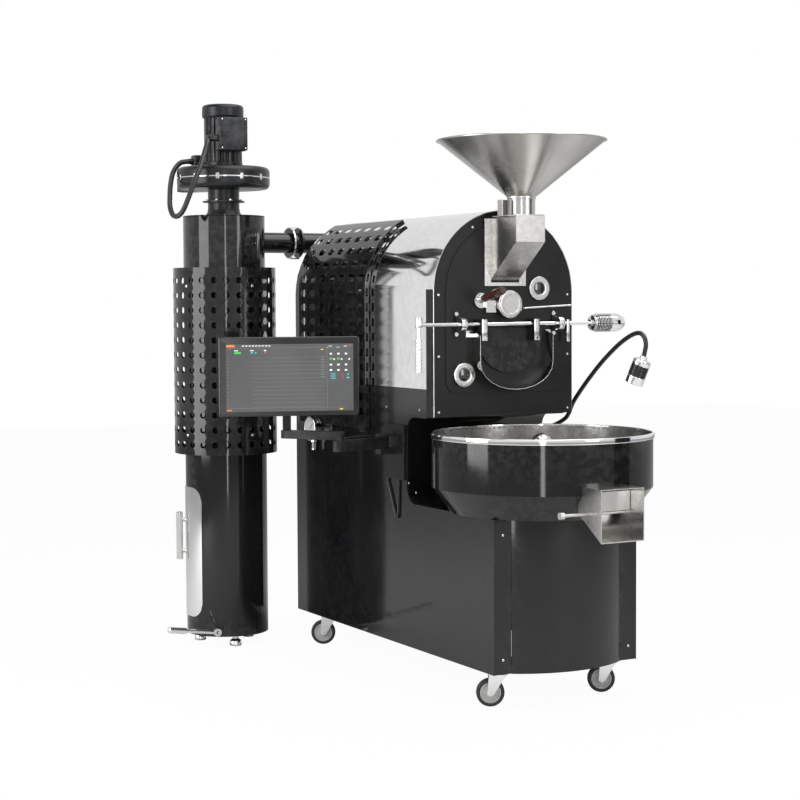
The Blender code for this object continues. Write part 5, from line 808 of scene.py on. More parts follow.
def strip(bm, cuts, across, low, high, roll):
    """Plain sheet between two lines of a rolled sheet, cut into small steps."""
    step = (across[1] - across[0]) / cuts
    for k in range(cuts):
        u0, u1 = across[0] + step * k, across[0] + step * (k + 1)
        bm.faces.new([bm.verts.new(roll(*p)) for p in ((u0, low), (u1, low), (u1, high), (u0, high))])


def joined(bm):
    bmesh.ops.remove_doubles(bm, verts=bm.verts, dist=1e-5)


# %% [markdown]
# The column's guard goes round the front and folds back to the tube at both ends. It has fifteen columns
# of holes.

# %% Column guard
def round_column(u, v):
    return COLUMN + Vector((GUARD_R * cos(u / GUARD_R), GUARD_R * sin(u / GUARD_R), v))


def column_guard(bm):
    start, end = radians(130) * GUARD_R, radians(340) * GUARD_R
    wide, tall = (end - start) / 15, 0.06095
    spots = [(start + wide * (i + 0.5), 0.8370 + tall * j) for i in range(15) for j in range(12)]
    punched(bm, spots, (wide, tall), (0.0262, 0.0262), round_column)
    strip(bm, 90, (start, end), 0.795, 0.8370 - tall / 2, round_column)
    strip(bm, 90, (start, end), 0.8370 + tall * 11.5, 1.560, round_column)
    for turn in (radians(130), radians(340)):
        out = Vector((cos(turn), sin(turn), 0))
        mid = (GUARD_R + COLUMN_R + 0.0003) / 2
        deep = GUARD_R - COLUMN_R - 0.0003

        def leg(u, v):
            return COLUMN + out * (mid + u) + Vector((0, 0, v))
        punched(bm, [(0, 0.8370 + tall * j) for j in range(12)], (deep, tall), (0.018, 0.030), leg)
        strip(bm, 6, (-deep / 2, deep / 2), 0.795, 0.8370 - tall / 2, leg)
        strip(bm, 6, (-deep / 2, deep / 2), 0.8370 + tall * 11.5, 1.560, leg)
    joined(bm)


thick(make("column_guard_sheet", GLOSS, "machine", column_guard, nodes=("column_guard",),
    slot="black_satin_paint"),
      0.0025)
tell("column guard")


# %% [markdown]
# The guard along the drum cover stands off the hot sheet and follows its bend at the top. Its holes are
# short slots.

# %% Heat guard along the drum cover
GUARD_X = 0.322
RISE = ARCH_Z - 0.925


def along_cover(u, v, radius=GUARD_X):
    if v < RISE:
        return Vector((-radius, u, 0.925 + v))
    a = (v - RISE) / GUARD_X
    return Vector((-radius * cos(a), u, ARCH_Z + radius * sin(a)))


def heat_guard(bm):
    wide, tall, first = 0.5917 / 7, 0.0577, 0.0670
    length = RISE + GUARD_X * radians(62)
    spots = [(0.500 + wide * (i + 0.5), first + tall * j) for i in range(7) for j in range(14)]
    punched(bm, spots, (wide, tall), (0.050, 0.029), along_cover)
    strip(bm, 42, (0.500, 1.0917), 0, first - tall / 2, along_cover)
    strip(bm, 42, (0.500, 1.0917), first + tall * 13.5, length, along_cover)
    depth = GUARD_X - HALF - 0.0035
    mid = GUARD_X - depth / 2
    for y in (0.500, 1.0917):
        def edge(u, v):
            return along_cover(y, v, mid + u)
        punched(bm, [(0, first + tall * j) for j in range(14)], (depth, tall), (0.010, 0.034), edge)
        strip(bm, 6, (-depth / 2, depth / 2), 0, first - tall / 2, edge)
        strip(bm, 6, (-depth / 2, depth / 2), first + tall * 13.5, length, edge)
    joined(bm)


thick(make("heat_guard_sheet", GLOSS, "machine", heat_guard, nodes=("heat_guard",), slot="black_satin_paint",
           crease=40), 0.0022)
tell("heat guard along the drum cover")


# %% [markdown]
# The drum cover is one polished sheet bent over the drum. Bands of the same sheet close it at both ends.

# %% Drum cover and bands
def arch_path(radius, start=0.0, end=pi, foot=None, steps=96):
    path = [(radius * cos(start + (end - start) * k / steps),
        ARCH_Z + radius * sin(start + (end - start) * k / steps))
            for k in range(steps + 1)]
    if foot is not None:
        path = [(radius, foot + (ARCH_Z - foot) * k / 6) for k in range(6)] + path
        path += [(-radius, ARCH_Z - (ARCH_Z - foot) * k / 6) for k in range(1, 7)]
    return path


def arched(bm, path, y0, y1, cuts=2):
    rows = [[bm.verts.new((x, y0 + (y1 - y0) * k / cuts, z)) for k in range(cuts + 1)] for x, z in path]
    for a, b in zip(rows, rows[1:]):
        for k in range(cuts):
            bm.faces.new((a[k], a[k + 1], b[k + 1], b[k]))


thick(make("drum_cover", CHROME, "machine", lambda bm: arched(bm, arch_path(HALF, foot=1.0963),
    BAND + 0.0006, 1.0914),
           nodes=("arch_cover",)), 0.003)
thick(make("front_band_polished", CHROME, "machine",
           lambda bm: arched(bm, arch_path(HALF + 0.0005, radians(2), radians(178)), 0.0005,
               BAND - 0.0004)), 0.0005)
thick(make("rear_band_polished", CHROME, "machine",
           lambda bm: arched(bm, arch_path(HALF + 0.0005, radians(30), radians(150)), 1.0926,
               REAR - 0.0008)), 0.0005)


def plate_edge(bm):
    path = [Vector((x, 0.0016, z)) for x, z in arch_path(HALF - 0.0012, foot=0.997)]
    tube_mesh(bm, path, 0.0016, 8)


make("plate_edge_trim", STEEL, "machine", plate_edge)
make("cover_joint", DARK, "machine",
     lambda bm: arched(bm, arch_path(HALF + 0.0006, radians(1), radians(179)), 1.0908, 1.0928))
tell("drum cover and bands")


# %% [markdown]
# The cooling bin is a rolled wall with a cone below and a chrome rim on top. The outlet's hole is left at
# the front.

# %% Cooling bin
def bin_wall(bm, radius, foot, low):
    gap = radians(9)
    turned(bm, [(radius, 0.947), (radius, 0.768)], BIN, steps=120)
    for start, steps, rings in ((radians(-90) + gap, 114, ((radius, 0.768), (radius, 0.757), (foot, low))),):
        turned(bm, list(rings), BIN, steps=steps, start=start, sweep=tau - 2 * gap)
    turned(bm, [(foot, low), (foot - 0.16, low)], BIN, steps=120)
    joined(bm)


thick(make("bin_wall_painted", GLOSS, "machine", lambda bm: bin_wall(bm, 0.397, 0.330, 0.6663),
           nodes=("bin_shell",)), 0.0015)
thick(make("bin_wall_lining", SPUN, "machine", lambda bm: bin_wall(bm, 0.3940, 0.3275, 0.6688)), 0.0012)
low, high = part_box("bin_rim")


def bin_rim(bm):
    outer, inner = 0.401, 0.3928
    line = soft([(inner, low.z + 0.001), (outer, low.z), (outer, high.z), (inner, high.z)], 0.0035, True, 5)
    turned(bm, [*line, line[0]], BIN, steps=144)


make("bin_rim_rolled", CHROME, "machine", bin_rim, nodes=("bin_rim",))


def sieve(tree, where, colour):
    scaled = node(tree, "ShaderNodeVectorMath", {0: where, "Scale": 160.0}, operation="SCALE")
    dots = node(tree, "ShaderNodeTexVoronoi", {"Vector": scaled.outputs[0], "Scale": 1.0, "Randomness": 0.0})
    return mixed(tree, span(tree, dots.outputs["Distance"], 0.30, 0.36), (0.01, 0.01, 0.01), colour)


SIEVE = finish("sieve_steel", (0.55, 0.54, 0.52), (0.47, 0.46, 0.45), (0.22, 0.38), 1.0, clouds_scale=5.0,
               scale=300.0, bump=0.1, colour_hook=sieve)
dress("bin_floor", SIEVE)
dress("agitator", POLISHED)
tell("cooling bin")


# %% [markdown]
# The hopper is a spun steel cone with a rolled lip, on a short throat.

# %% Hopper
flange_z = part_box("feed_hopper")[0].z


def hopper(bm):
    rim = 0.310
    line = [(0.047, flange_z), (0.050, flange_z)]
    line += [(p.x, p.y) for p in soft([(0.050, flange_z + 0.003), (0.050, 1.792), (rim - 0.007, 1.9935)],
        0.006)]
    line += [(rim - 0.0035 + 0.0035 * cos(a),
        1.9965 + 0.0035 * sin(a)) for a in [radians(-90 + 30 * k) for k in range(8)]]
    line += [(p.x, p.y) for p in soft([(rim - 0.0095, 1.9965), (0.047, 1.7945), (0.047, flange_z)], 0.006)]
    turned(bm, line, HOPPER, steps=144)


make("hopper_cone", SPUN, "machine", hopper, nodes=("feed_hopper",))
make("hopper_flange", STEEL, "machine",
     lambda bm: (pillow(bm, rectangle(0.122, 0.124, 0.004, 3, (HOPPER.x, HOPPER.y)), flange_z,
         flange_z + 0.003,
                        edge=0.0006),
                 turned(bm, soft([(0.0505, 1.786), (0.0535, 1.787), (0.0535, 1.797), (0.0515, 1.799)],
                     0.002), HOPPER)))
tell("hopper")


# %% [markdown]
# The exhaust fan stands on the column: a flared neck, a snail-shaped casing with a clamp band, and its motor.

# %% Fan casing
def fan_casing(bm):
    line = [(0.046, 1.7752), (0.060, 1.7752), (0.0750, 1.7762), (0.0745, 1.7790), (0.0680, 1.7900), (0.0655,
        1.8060)]
    line += [(0.0650, 1.8300), (0.0870, 1.8310), (0.0870, 1.8365), (0.0650, 1.8375), (0.0650, 1.8740)]
    casing = soft([(0.0650, 1.8740), (0.0660, 1.8845), (0.192, 1.8845), (0.192, 1.9755), (0.135, 1.9755)],
        0.026,
                  cuts=8)
    line += [(p.x, p.y) for p in casing[1:]]
    line += [(0.132, 1.9757), (0.060, 1.9757)]
    turned(bm, line, COLUMN, steps=128)
    mouth = Matrix.Translation(COLUMN) @ Matrix.Rotation(radians(45), 4, "Z")
    x0, x1, z0, z1, sheet = 0.1225, 0.1885, 1.8875, 1.9665, 0.004
    block(bm, (x0, 0.010, z0), (x1, 0.190, z1), 0.003, mouth)
    for low, high in (((x0, 0.188, z0), (x1, 0.262, z0 + sheet)), ((x0, 0.188, z1 - sheet), (x1, 0.262, z1)),
                      ((x0, 0.188, z0), (x0 + sheet, 0.262, z1)), ((x1 - sheet, 0.188, z0), (x1, 0.262, z1))):
        block(bm, low, high, 0.0008, mouth)


make("fan_casing", MOTOR, "machine", fan_casing, nodes=("blower_housing",))


def fan_bands(bm):
    turned(bm, soft([(0.189, 1.9270), (0.1928, 1.9275), (0.1928, 1.9325), (0.189, 1.9330)], 0.001), COLUMN,
        steps=128)
    for k in range(12):
        a = tau * k / 12
        out = Vector((cos(a), sin(a), 0))
        side_dir = Matrix.Rotation(a, 4, "Z")
        block(bm, (-0.003, -0.007, -0.012), (0.0025, 0.007, 0.012), 0.001,
              Matrix.Translation(COLUMN + out * 0.1905 + Vector((0, 0, 1.930))) @ side_dir)


make("fan_clips", POLISHED, "machine", fan_bands)
neck_bolts = [COLUMN + Vector((0.076 * cos(a), 0.076 * sin(a),
    1.8365)) for a in [tau * k / 8 for k in range(8)]]
screws("neck_bolts", POLISHED, "machine", neck_bolts, (0, 0, 1), 0.010, 0.006, bolt)
box_x, box_y = -0.6525, 1.3675
make("cable_box", MOTOR, "machine",
     lambda bm: (block(bm, (box_x - 0.0225, box_y - 0.0225, 1.9700), (box_x + 0.0225, box_y + 0.0225,
         2.0300), 0.003),
                 turned(bm, soft([(0.0105, 0), (0.0135, 0.001), (0.0120, 0.012), (0.0108, 0.020)], 0.001),
                        (box_x - 0.0225, box_y, 2.004), (-1, 0, 0), 24)))
tell("fan casing")


# %% [markdown]
# The fan's motor has cast fins, a domed rain cap, a box for its terminals with a lid, and a gland for the
# cable.

# %% Fan motor
def finned_body(bm):
    fins = 20
    outline = []
    for k in range(fins):
        a = tau * k / fins
        for share, r in ((-0.30, 0.0712), (-0.15, 0.0765), (-0.10, 0.0780), (0.10, 0.0780), (0.15, 0.0765),
            (0.30, 0.0712)):
            t = a + share * tau / fins
            outline.append((COLUMN.x + r * cos(t), COLUMN.y + r * sin(t)))
    slab(bm, outline, 1.9965, 2.1765)
    turned(bm, soft([(0.060, 1.9763), (0.080, 1.9763), (0.080, 1.9963), (0.060, 1.9963)], 0.003), COLUMN,
        steps=96)
    cap = soft([(0.060, 2.1763), (0.086, 2.1763), (0.086, 2.2318), (0, 2.2318)], 0.018, cuts=8)
    turned(bm, cap, COLUMN, steps=96)


def motor_rings(bm):
    for z in (2.186, 2.196, 2.206):
        turned(bm, soft([(0.0855, z - 0.0015), (0.0868, z), (0.0855, z + 0.0015)], 0.001), COLUMN, steps=96)


make("fan_motor", MOTOR, "machine", finned_body, motor_rings, nodes=("blower_motor",))
turn = radians(266)
terminal = Matrix.Translation(COLUMN) @ Matrix.Rotation(turn, 4, "Z")
low_z = 1.9963 + (0.180 - 0.136) / 2 + 0.018
make("terminal_box", MOTOR, "machine",
     lambda bm: block(bm, (0.070, -0.060, low_z), (0.126, 0.060, low_z + 0.136), 0.005, terminal))
make("terminal_lid", MOTOR, "machine",
     lambda bm: block(bm, (0.1265, -0.0595, low_z + 0.0008), (0.1378, 0.0595, low_z + 0.1352), 0.004,
         terminal))
lid_corners = [terminal @ Vector((0.1372, y, low_z + z)) for y in (-0.050, 0.050) for z in (0.010, 0.126)]
screws("terminal_screws", POLISHED, "machine", lid_corners, terminal.to_3x3() @ Vector((1, 0, 0)), 0.0035,
    0.0022)
gland = (Vector((-0.6656, 1.1699, 2.0873)) - Vector((-0.6866, 1.1713, 2.0873))).normalized()
make("cable_gland", SHEATH, "machine",
     lambda bm: turned(bm, [(0.0108, -0.020), (0.0125, -0.016), (0.0140, -0.006), (0.0140, 0.004), (0.0140,
         0.020)],
                       (-0.6656, 1.1699, 2.0873), gland, 6))
tell("fan motor")


# %% [markdown]
# A round duct leads the smoke from behind the drum to the column. Two flanges are bolted together half way.

# %% Duct
def duct(bm):
    bend = 0.062
    path = [Vector((-0.4130, 1.272, 1.667)), Vector((-0.300, 1.272, 1.667)), Vector((-0.200, 1.272, 1.667))]
    middle = Vector((-0.060 - bend, 1.272 - bend, 1.667))
    path += [middle + Vector((bend * sin(a), bend * cos(a),
        0)) for a in [radians(90) * k / 14 for k in range(15)]]
    path.append(Vector((-0.060, 1.1790, 1.667)))
    tube_mesh(bm, path, 0.043, 64)
    for x in (-0.280, -0.240):
        turned(bm, soft([(0.043, -0.004), (0.063, -0.004), (0.063, 0.004), (0.043, 0.004)], 0.0015), (x,
            1.272, 1.667),
               (1, 0, 0), 72)
    turned(bm, soft([(0.043, -0.004), (0.063, -0.004), (0.063, 0.004), (0.043, 0.004)], 0.0015), (-0.060,
        1.1764, 1.667),
           (0, 1, 0), 72)


make("duct_tube", GLOSS, "machine", duct, nodes=("exhaust_duct",))


def duct_clamp(bm):
    turned(bm, soft([(0.0634, -0.0235), (0.0660, -0.0225), (0.0660, -0.0165), (0.0634, -0.0155)], 0.001),
           (-0.260, 1.272, 1.667), (1, 0, 0), 96)
    for up in (-1, 1):
        tube_mesh(bm, [(-0.282, 1.262, 1.667 + up * 0.066), (-0.238, 1.262, 1.667 + up * 0.066)], 0.003, 12)


make("duct_clamp", CHROME, "machine", duct_clamp)
tell("duct")


# %% [markdown]
# The front carries the drum's bearing cap, two sight glasses, the bean sampler and a temperature probe.

# %% Bearing cap and sight glasses
def bearing_cap(bm):
    line = [(0, 0), (0.051, 0)]
    line += [(p.x, p.y) for p in soft([(0.051, 0.0), (0.051, 0.040), (0.0475, 0.0400), (0.0475, 0.0455),
        (0.034, 0.0455),
                                       (0.033, 0.0440), (0.0325, 0.0440), (0, 0.0440)], 0.0015)][1:]
    turned(bm, line, (0, FACE, 1.406), (0, -1, 0), 96)


make("drum_bearing_cap", POLISHED, "machine", bearing_cap, nodes=("bearing_cap",))
ring = [(0.0405 * cos(a), FACE - 0.0452,
    1.406 + 0.0405 * sin(a)) for a in [tau * k / 6 + 0.3 for k in range(6)]]
screws("cap_bolts", STEEL, "machine", ring, (0, -1, 0), 0.0046, 0.0014)
for label, x, z, count in (("upper", 0.146, 1.464, 4), ("lower", -0.179, 1.149, 3)):
    def sight(bm):
        line = soft([(0.0235, 0.002), (0.0235, 0.0105), (0.0265, 0.0118), (0.0430, 0.0118), (0.0445, 0.0100),
                     (0.0445, 0.0)], 0.0012)
        turned(bm, line, (x, FACE, z), (0, -1, 0), 96)
    make(label + "_sight_flange", POLISHED, "machine", sight, nodes=(label + "_sight_ring",))
    make(label + "_sight_glass", GLASS, "machine",
         lambda bm: turned(bm, [(0.0236, 0.004), (0.0236, 0.0072), (0.021, 0.0085), (0, 0.0088)], (x, FACE,
             z),
                           (0, -1, 0), 64))
    ring = [(x + 0.035 * cos(a), FACE - 0.0116,
        z + 0.035 * sin(a)) for a in [tau * k / count + 0.5 for k in range(count)]]
    screws(label + "_sight_screws", STEEL, "machine", ring, (0, -1, 0), 0.0042, 0.0020)


def probe(bm):
    turned(bm, [(0.010, 0), (0.010, 0.010), (0.0085, 0.012), (0.0060, 0.012), (0.0060, 0.020), (0.0045,
        0.022)],
           (0.064, FACE, 1.391), (0, -1, 0), 24)
    path = smooth_path([(0.064, FACE - 0.012, 1.391), (0.066, FACE - 0.026, 1.391), (0.082, FACE - 0.030,
        1.3915),
                        (0.170, FACE - 0.030, 1.396), (0.272, FACE - 0.030, 1.401)], 8)
    tube_mesh(bm, path, 0.0035, 14)


make("temperature_probe", POLISHED, "machine", probe, nodes=("probe_rod",))
tell("bearing cap and sight glasses")


# %% [markdown]
# The discharge door hangs on a long shaft. A ribbed counterweight lever sits at its left end,
# and the operator lifts it by the finned, round-nosed handle at its right end.

# %% Door shaft, lever and handle
SHAFT_Z, SHAFT_Y = 1.334, -0.038


def door_shaft(bm):
    turned(bm, [(0, -0.383), (0.0075, -0.383), (0.0075, 0.352), (0, 0.352)], (0, SHAFT_Y, SHAFT_Z), (1, 0,
        0), 36)
    block(bm, (0.246, SHAFT_Y - 0.010, SHAFT_Z - 0.070), (0.260, SHAFT_Y + 0.010, SHAFT_Z + 0.014), 0.002)


def lever_ribs(bm):
    line = [(0, SHAFT_Z - 0.172), (0.008, SHAFT_Z - 0.172)]
    pitch = (0.172 - 0.049) / 9
    for k in range(9):
        z = SHAFT_Z - 0.172 + pitch * k
        line += [(0.008, z + 0.0015), (0.0122, z + 0.0022), (0.0125, z + 0.0045), (0.0122, z + 0.0068),
            (0.008, z + 0.0075)]
    line += [(0.0075, SHAFT_Z - 0.049), (0.0075, SHAFT_Z - 0.0125), (0.0120, SHAFT_Z - 0.012), (0.0125,
        SHAFT_Z - 0.010),
             (0.0125, SHAFT_Z + 0.023), (0.0110, SHAFT_Z + 0.026), (0, SHAFT_Z + 0.026)]
    turned(bm, line, (-0.383, SHAFT_Y, 0), steps=48)


make("door_shaft_round", CHROME, "discharge_door", door_shaft, lever_ribs, nodes=("door_shaft",))


def ribbed_handle(bm):
    start = 0.3523
    line = [(0, start), (0.013, start), (0.014, start + 0.001), (0.014, start + 0.009)]
    pitch = 0.074 / 11
    for k in range(11):
        x = start + 0.009 + pitch * k
        reach = 0.029 + 0.006 * min(k / 3, 1)
        line += [(0.026, x + 0.0006), (reach - 0.0008, x + 0.0012), (reach, x + 0.0022), (reach, x + 0.0036),
                 (reach - 0.0008, x + 0.0046), (0.026, x + 0.0052)]
    end = start + 0.083
    straight = end + 0.078 * 0.30
    line += [(0.026, end), (0.0342, end + 0.0004), (0.035, end + 0.0014)]
    line += [(0.035 * cos(t), straight + 0.0546 * sin(t)) for t in [pi / 2 * k / 16 for k in range(16)]]
    turned(bm, line + [(0, straight + 0.0546)], (0, SHAFT_Y, SHAFT_Z), (1, 0, 0), 72)


make("door_handle_ribbed", CHROME, "discharge_door", ribbed_handle, nodes=("door_handle",))
dress("door_plate", SATIN)


def clamp_faces(bm):
    for x in (-0.116, 0.110):
        block(bm, (x - 0.0115, -0.0535, SHAFT_Z - 0.061), (x + 0.0115, -0.0521, SHAFT_Z + 0.017), 0.0006)


make("clamp_faces", POLISHED, "discharge_door", clamp_faces)
spots = [(x, -0.0535, SHAFT_Z + z) for x in (-0.116, 0.110) for z in (0.008, -0.028, -0.052)]
screws("clamp_bolts", CHROME, "discharge_door", spots, (0, -1, 0), 0.0075, 0.0045, bolt)
spots = [(x, FACE - 0.0052, z) for x in (-0.210, 0.211) for z in (1.371, 1.297)]
screws("bracket_bolts", CHROME, "machine", spots, (0, -1, 0), 0.0110, 0.0060, bolt)
for label, x in (("left", -0.204), ("right", 0.217)):
    make(label + "_shaft_ring", CHROME, "machine",
         lambda bm: turned(bm, soft([(0.0085, -0.0105), (0.0262, -0.0105), (0.0262, 0.0105), (0.0085,
             0.0105)], 0.002),
                           (x, SHAFT_Y, SHAFT_Z), (1, 0, 0), 64))
tell("door shaft, lever and handle")


# %% [markdown]
# The sampler's grip is turned from dark wood, and the work lamp stands on a ribbed gooseneck.

# %% Sampler grip and work lamp
dress("trier_handle", WOOD)
LAMP = [(0.018, 0.238, 0.915), (0.034, 0.234, 0.917), (0.042, 0.214, 0.926), (0.042, 0.104, 0.968),
        (0.041, 0.052, 1.030), (0.040, -0.006, 1.083), (0.040, -0.066, 1.133), (0.040, -0.130, 1.182),
        (0.040, -0.196, 1.226), (0.040, -0.262, 1.264), (0.040, -0.325, 1.291), (0.040, -0.372, 1.300),
        (0.040, -0.402, 1.288), (0.040, -0.414, 1.262), (0.040, -0.408, 1.234), (0.040, -0.397, 1.207)]
LAMP = [Vector((HALF + a, b, c)) for a, b, c in LAMP]


def gooseneck(bm):
    path = smooth_path(LAMP, 26)
    sizes = [0.0085 - (0.0007 if k % 2 else 0.0) for k in range(len(path))]
    tube_mesh(bm, path, sizes, 20)
    turned(bm, soft([(0.022, 0.0003), (0.022, 0.016), (0.012, 0.018), (0.0125, 0.030), (0.0088, 0.034)],
        0.003),
           (HALF, 0.238, 0.915), (1, 0, 0), 48)


make("lamp_gooseneck_ribbed", SHEATH, "machine", gooseneck, nodes=("lamp_gooseneck",),
    slot="black_satin_paint",
     crease=60)
aim = Vector((-0.2, 0.3, -0.9)).normalized()
top_of_lamp = LAMP[-1]


def lamp_shell(bm):
    turned(bm, soft([(0.0088, -0.012), (0.0128, -0.011), (0.0135, 0.0), (0.0315, 0.004), (0.033, 0.010),
        (0.033, 0.022),
                     (0.0322, 0.024)], 0.003), top_of_lamp, aim, 72)
    turned(bm, soft([(0.0322, 0.066), (0.033, 0.068), (0.033, 0.095), (0.0295, 0.095), (0.0275, 0.084)],
        0.002),
           top_of_lamp, aim, 72)


def lamp_grip(bm):
    line = [(0.0322, 0.0235)]
    for k in range(8):
        z = 0.025 + 0.005 * k
        line += [(0.0324, z), (0.0328, z + 0.0012), (0.0328, z + 0.0030), (0.0318, z + 0.0042)]
    turned(bm, line + [(0.0322, 0.0665)], top_of_lamp, aim, 72)


make("lamp_shell", CHROME, "machine", lamp_shell, nodes=("lamp_head",))
make("lamp_grip", BEZEL, "machine", lamp_grip)


def lens(bm):
    for k in range(7):
        spot = Vector((0, 0, 0)) if k == 0 else Vector((0.0170 * cos(tau * k / 6),
            0.0170 * sin(tau * k / 6), 0))
        turned(bm, [(0.0078, 0.0845), (0.0070, 0.0880), (0.0045, 0.0900), (0, 0.0908)], steps=24,
               place=placed(top_of_lamp, aim) @ Matrix.Translation(spot))
    turned(bm, [(0.0276, 0.0845), (0, 0.0846)], top_of_lamp, aim, 48)


make("lamp_lens", LENS, "machine", lens)
tell("sampler grip and work lamp")


# %% [markdown]
# The control screen is a flat black panel on a folding arm. Its glass shows a plain roasting chart:
# a header row, a large empty graph, and two columns of switches and small values.

# %% Control screen
across = Vector((cos(SCREEN_YAW), sin(SCREEN_YAW), 0))
back = Vector((-sin(SCREEN_YAW), cos(SCREEN_YAW), 0))
UP = Vector((0, 0, 1))
FRONT = Matrix((across, UP, -back)).transposed().to_4x4()
WIDE, TALL, DEEP = 0.514, 0.290, 0.034
FRONT = Matrix.Translation(SCREEN + back * DEEP / 2) @ FRONT


def glowing(name, colour, other, power):
    made = finish(name, colour, other, (0.10, 0.16), clouds_scale=1.5, scale=900.0, bump=0.01, dusty=0.01)
    shader = made.node_tree.nodes["Principled BSDF"]
    source = shader.inputs["Base Color"].links[0].from_socket
    made.node_tree.links.new(source, shader.inputs["Emission Color"])
    shader.inputs["Emission Strength"].default_value = power
    return made


PANEL = glowing("display_grey", (0.055, 0.056, 0.058), (0.085, 0.086, 0.088), 0.55)
INKS = {
    "white": glowing("display_white", (0.75, 0.75, 0.75), (0.65, 0.65, 0.65), 0.8),
    "grey": glowing("display_pale_grey", (0.20, 0.20, 0.20), (0.16, 0.16, 0.16), 0.7),
    "green": glowing("display_green", (0.03, 0.45, 0.07), (0.03, 0.38, 0.06), 0.9),
    "orange": glowing("display_orange", (0.70, 0.17, 0.04), (0.62, 0.15, 0.04), 0.9),
    "cyan": glowing("display_cyan", (0.06, 0.42, 0.48), (0.05, 0.36, 0.42), 0.9),
    "red": glowing("display_red", (0.55, 0.05, 0.05), (0.48, 0.04, 0.04), 0.9),
    "yellow": glowing("display_yellow", (0.70, 0.52, 0.05), (0.60, 0.45, 0.05), 0.9),
}


def screen_body(bm):
    pillow(bm, rectangle(WIDE, TALL, 0.010, 6), -DEEP / 2, DEEP / 2 - 0.0006, FRONT, 0.004, 4)
    pillow(bm, rectangle(0.100, 0.100, 0.006, 4), -DEEP / 2 - 0.0155, -DEEP / 2 + 0.001, FRONT, 0.002)
    for k in range(11):
        block(bm, (-0.200 + 0.040 * k - 0.012, 0.075, -DEEP / 2 - 0.0012), (-0.200 + 0.040 * k + 0.012,
            0.080, -DEEP / 2),
              0.0004, FRONT)
    neck = SCREEN + back * (DEEP + 0.014)
    pivot = SCREEN + back * 0.105
    tube_mesh(bm, [neck, neck.lerp(pivot, 0.5), pivot], 0.014, 24)


make("screen_body", BEZEL, "display", screen_body, nodes=("screen",))
make("display_glass", PANEL, "display",
     lambda bm: slab(bm, rectangle(0.468, 0.246, 0.002, 2, (0.001, -0.004)), DEEP / 2 - 0.0010,
         DEEP / 2 - 0.0002, FRONT))


def marks(name, ink, rows):
    bm = bmesh.new()
    for x, y, w, h in rows:
        slab(bm, rectangle(w, h, min(w, h) * 0.2, 2, (x, y)), DEEP / 2 - 0.0002, DEEP / 2, FRONT)
    keep(name, bm, INKS[ink], "display", slot="black_satin_paint")


marks("marks_orange", "orange", [(-0.216, 0.113, 0.030, 0.008), (-0.222, -0.121, 0.018, 0.004), (0.224,
    0.112, 0.004, 0.004)])
marks("marks_green", "green", [(-0.190, 0.088, 0.024, 0.007), (0.152, 0.064, 0.010, 0.006), (0.180, 0.064,
    0.010, 0.006)])
marks("marks_cyan", "cyan", [(-0.138, 0.088, 0.008, 0.005), (-0.124, 0.088, 0.005, 0.005), (0.160, 0.008,
    0.018, 0.003),
                             (0.160, 0.000, 0.018, 0.003), (0.160, -0.008, 0.018, 0.003), (0.215, 0.006,
                                 0.006, 0.005),
                             (0.215, -0.006, 0.010, 0.005)])
marks("marks_red", "red", [(-0.218, 0.103, 0.004, 0.003), (-0.090, 0.088, 0.005, 0.004), (0.195, 0.008,
    0.005, 0.003),
                           (0.195, 0.000, 0.005, 0.003), (0.195, -0.008, 0.005, 0.003)])
marks("marks_yellow", "yellow", [(0.140, 0.105, 0.003, 0.004), (0.190, -0.121, 0.012, 0.004), (0.120, 0.098,
    0.010, 0.003)])
header = [(-0.170 + 0.012 * k, 0.113, 0.008, 0.003) for k in range(9)]
header += [(-0.196, 0.096, 0.014, 0.0025), (-0.138, 0.096, 0.014, 0.0025), (-0.090, 0.096, 0.008, 0.004)]
header += [(0.152 + 0.028 * i, 0.082 - 0.020 * j, 0.009, 0.006) for i in range(3) for j in (0, 2, 3)]
header += [(0.164 + 0.028 * i, 0.062, 0.006, 0.005) for i in range(3)]
header += [(0.150 + 0.028 * i, 0.110 - 0.004 * (i % 2), 0.012, 0.002) for i in range(3)]
marks("marks_white", "white", header)
pale = [(-0.005, 0.070 - 0.015 * k, 0.232 * 2 - 0.20, 0.0006) for k in range(13)]
pale += [(-0.226, 0.070 - 0.0125 * k, 0.004, 0.002) for k in range(15)]
pale += [(0.122, 0.070 - 0.009 * k, 0.014, 0.0022) for k in range(9)]
pale += [(-0.005, -0.114, 0.44, 0.0008), (0.138, -0.004, 0.0008, 0.232), (-0.006, 0.106, 0.45, 0.0007)]
marks("marks_pale", "grey", pale)
tell("control screen")


# %% [markdown]
# The display's supply cable is clipped along the folding arm. A round gas gauge hangs from a short pipe
# on the side.

# %% Arm cable and gauge
wall_pivot, elbow = Vector((-0.356, 0.290, 0)), Vector((-0.575, 0.225, 0))
screen_pivot = SCREEN + back * 0.105
screen_pivot.z = 0
for name, body, a, b in (("rear_link", "arm_rear", wall_pivot, elbow), ("front_link", "arm_front", elbow,
    screen_pivot)):
    along = (b - a).normalized()
    aside = Vector((along.y, -along.x, 0)) * 0.008
    top_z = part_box(name)[1].z
    a, b = a + along * 0.034 + aside, b - along * 0.034 + aside
    line = [a - UP * -(top_z - 0.002), a + along * 0.010 + UP * (top_z + 0.0035), a.lerp(b,
        0.35) + UP * (top_z + 0.0042),
            a.lerp(b, 0.65) + UP * (top_z + 0.0042), b - along * 0.010 + UP * (top_z + 0.0035),
            b + UP * (top_z - 0.002)]
    make(name + "_cable", SHEATH, body, lambda bm: tube_mesh(bm, smooth_path(line, 8), 0.004, 14))

    def clips(bm):
        for share in (0.3, 0.7):
            spot = a.lerp(b, share) + UP * (top_z + 0.0042)
            turned(bm, soft([(0.0042, -0.004), (0.0056, -0.004), (0.0056, 0.004), (0.0042, 0.004)], 0.001),
                spot, along, 24)
    make(name + "_clips", BEZEL, body, clips)
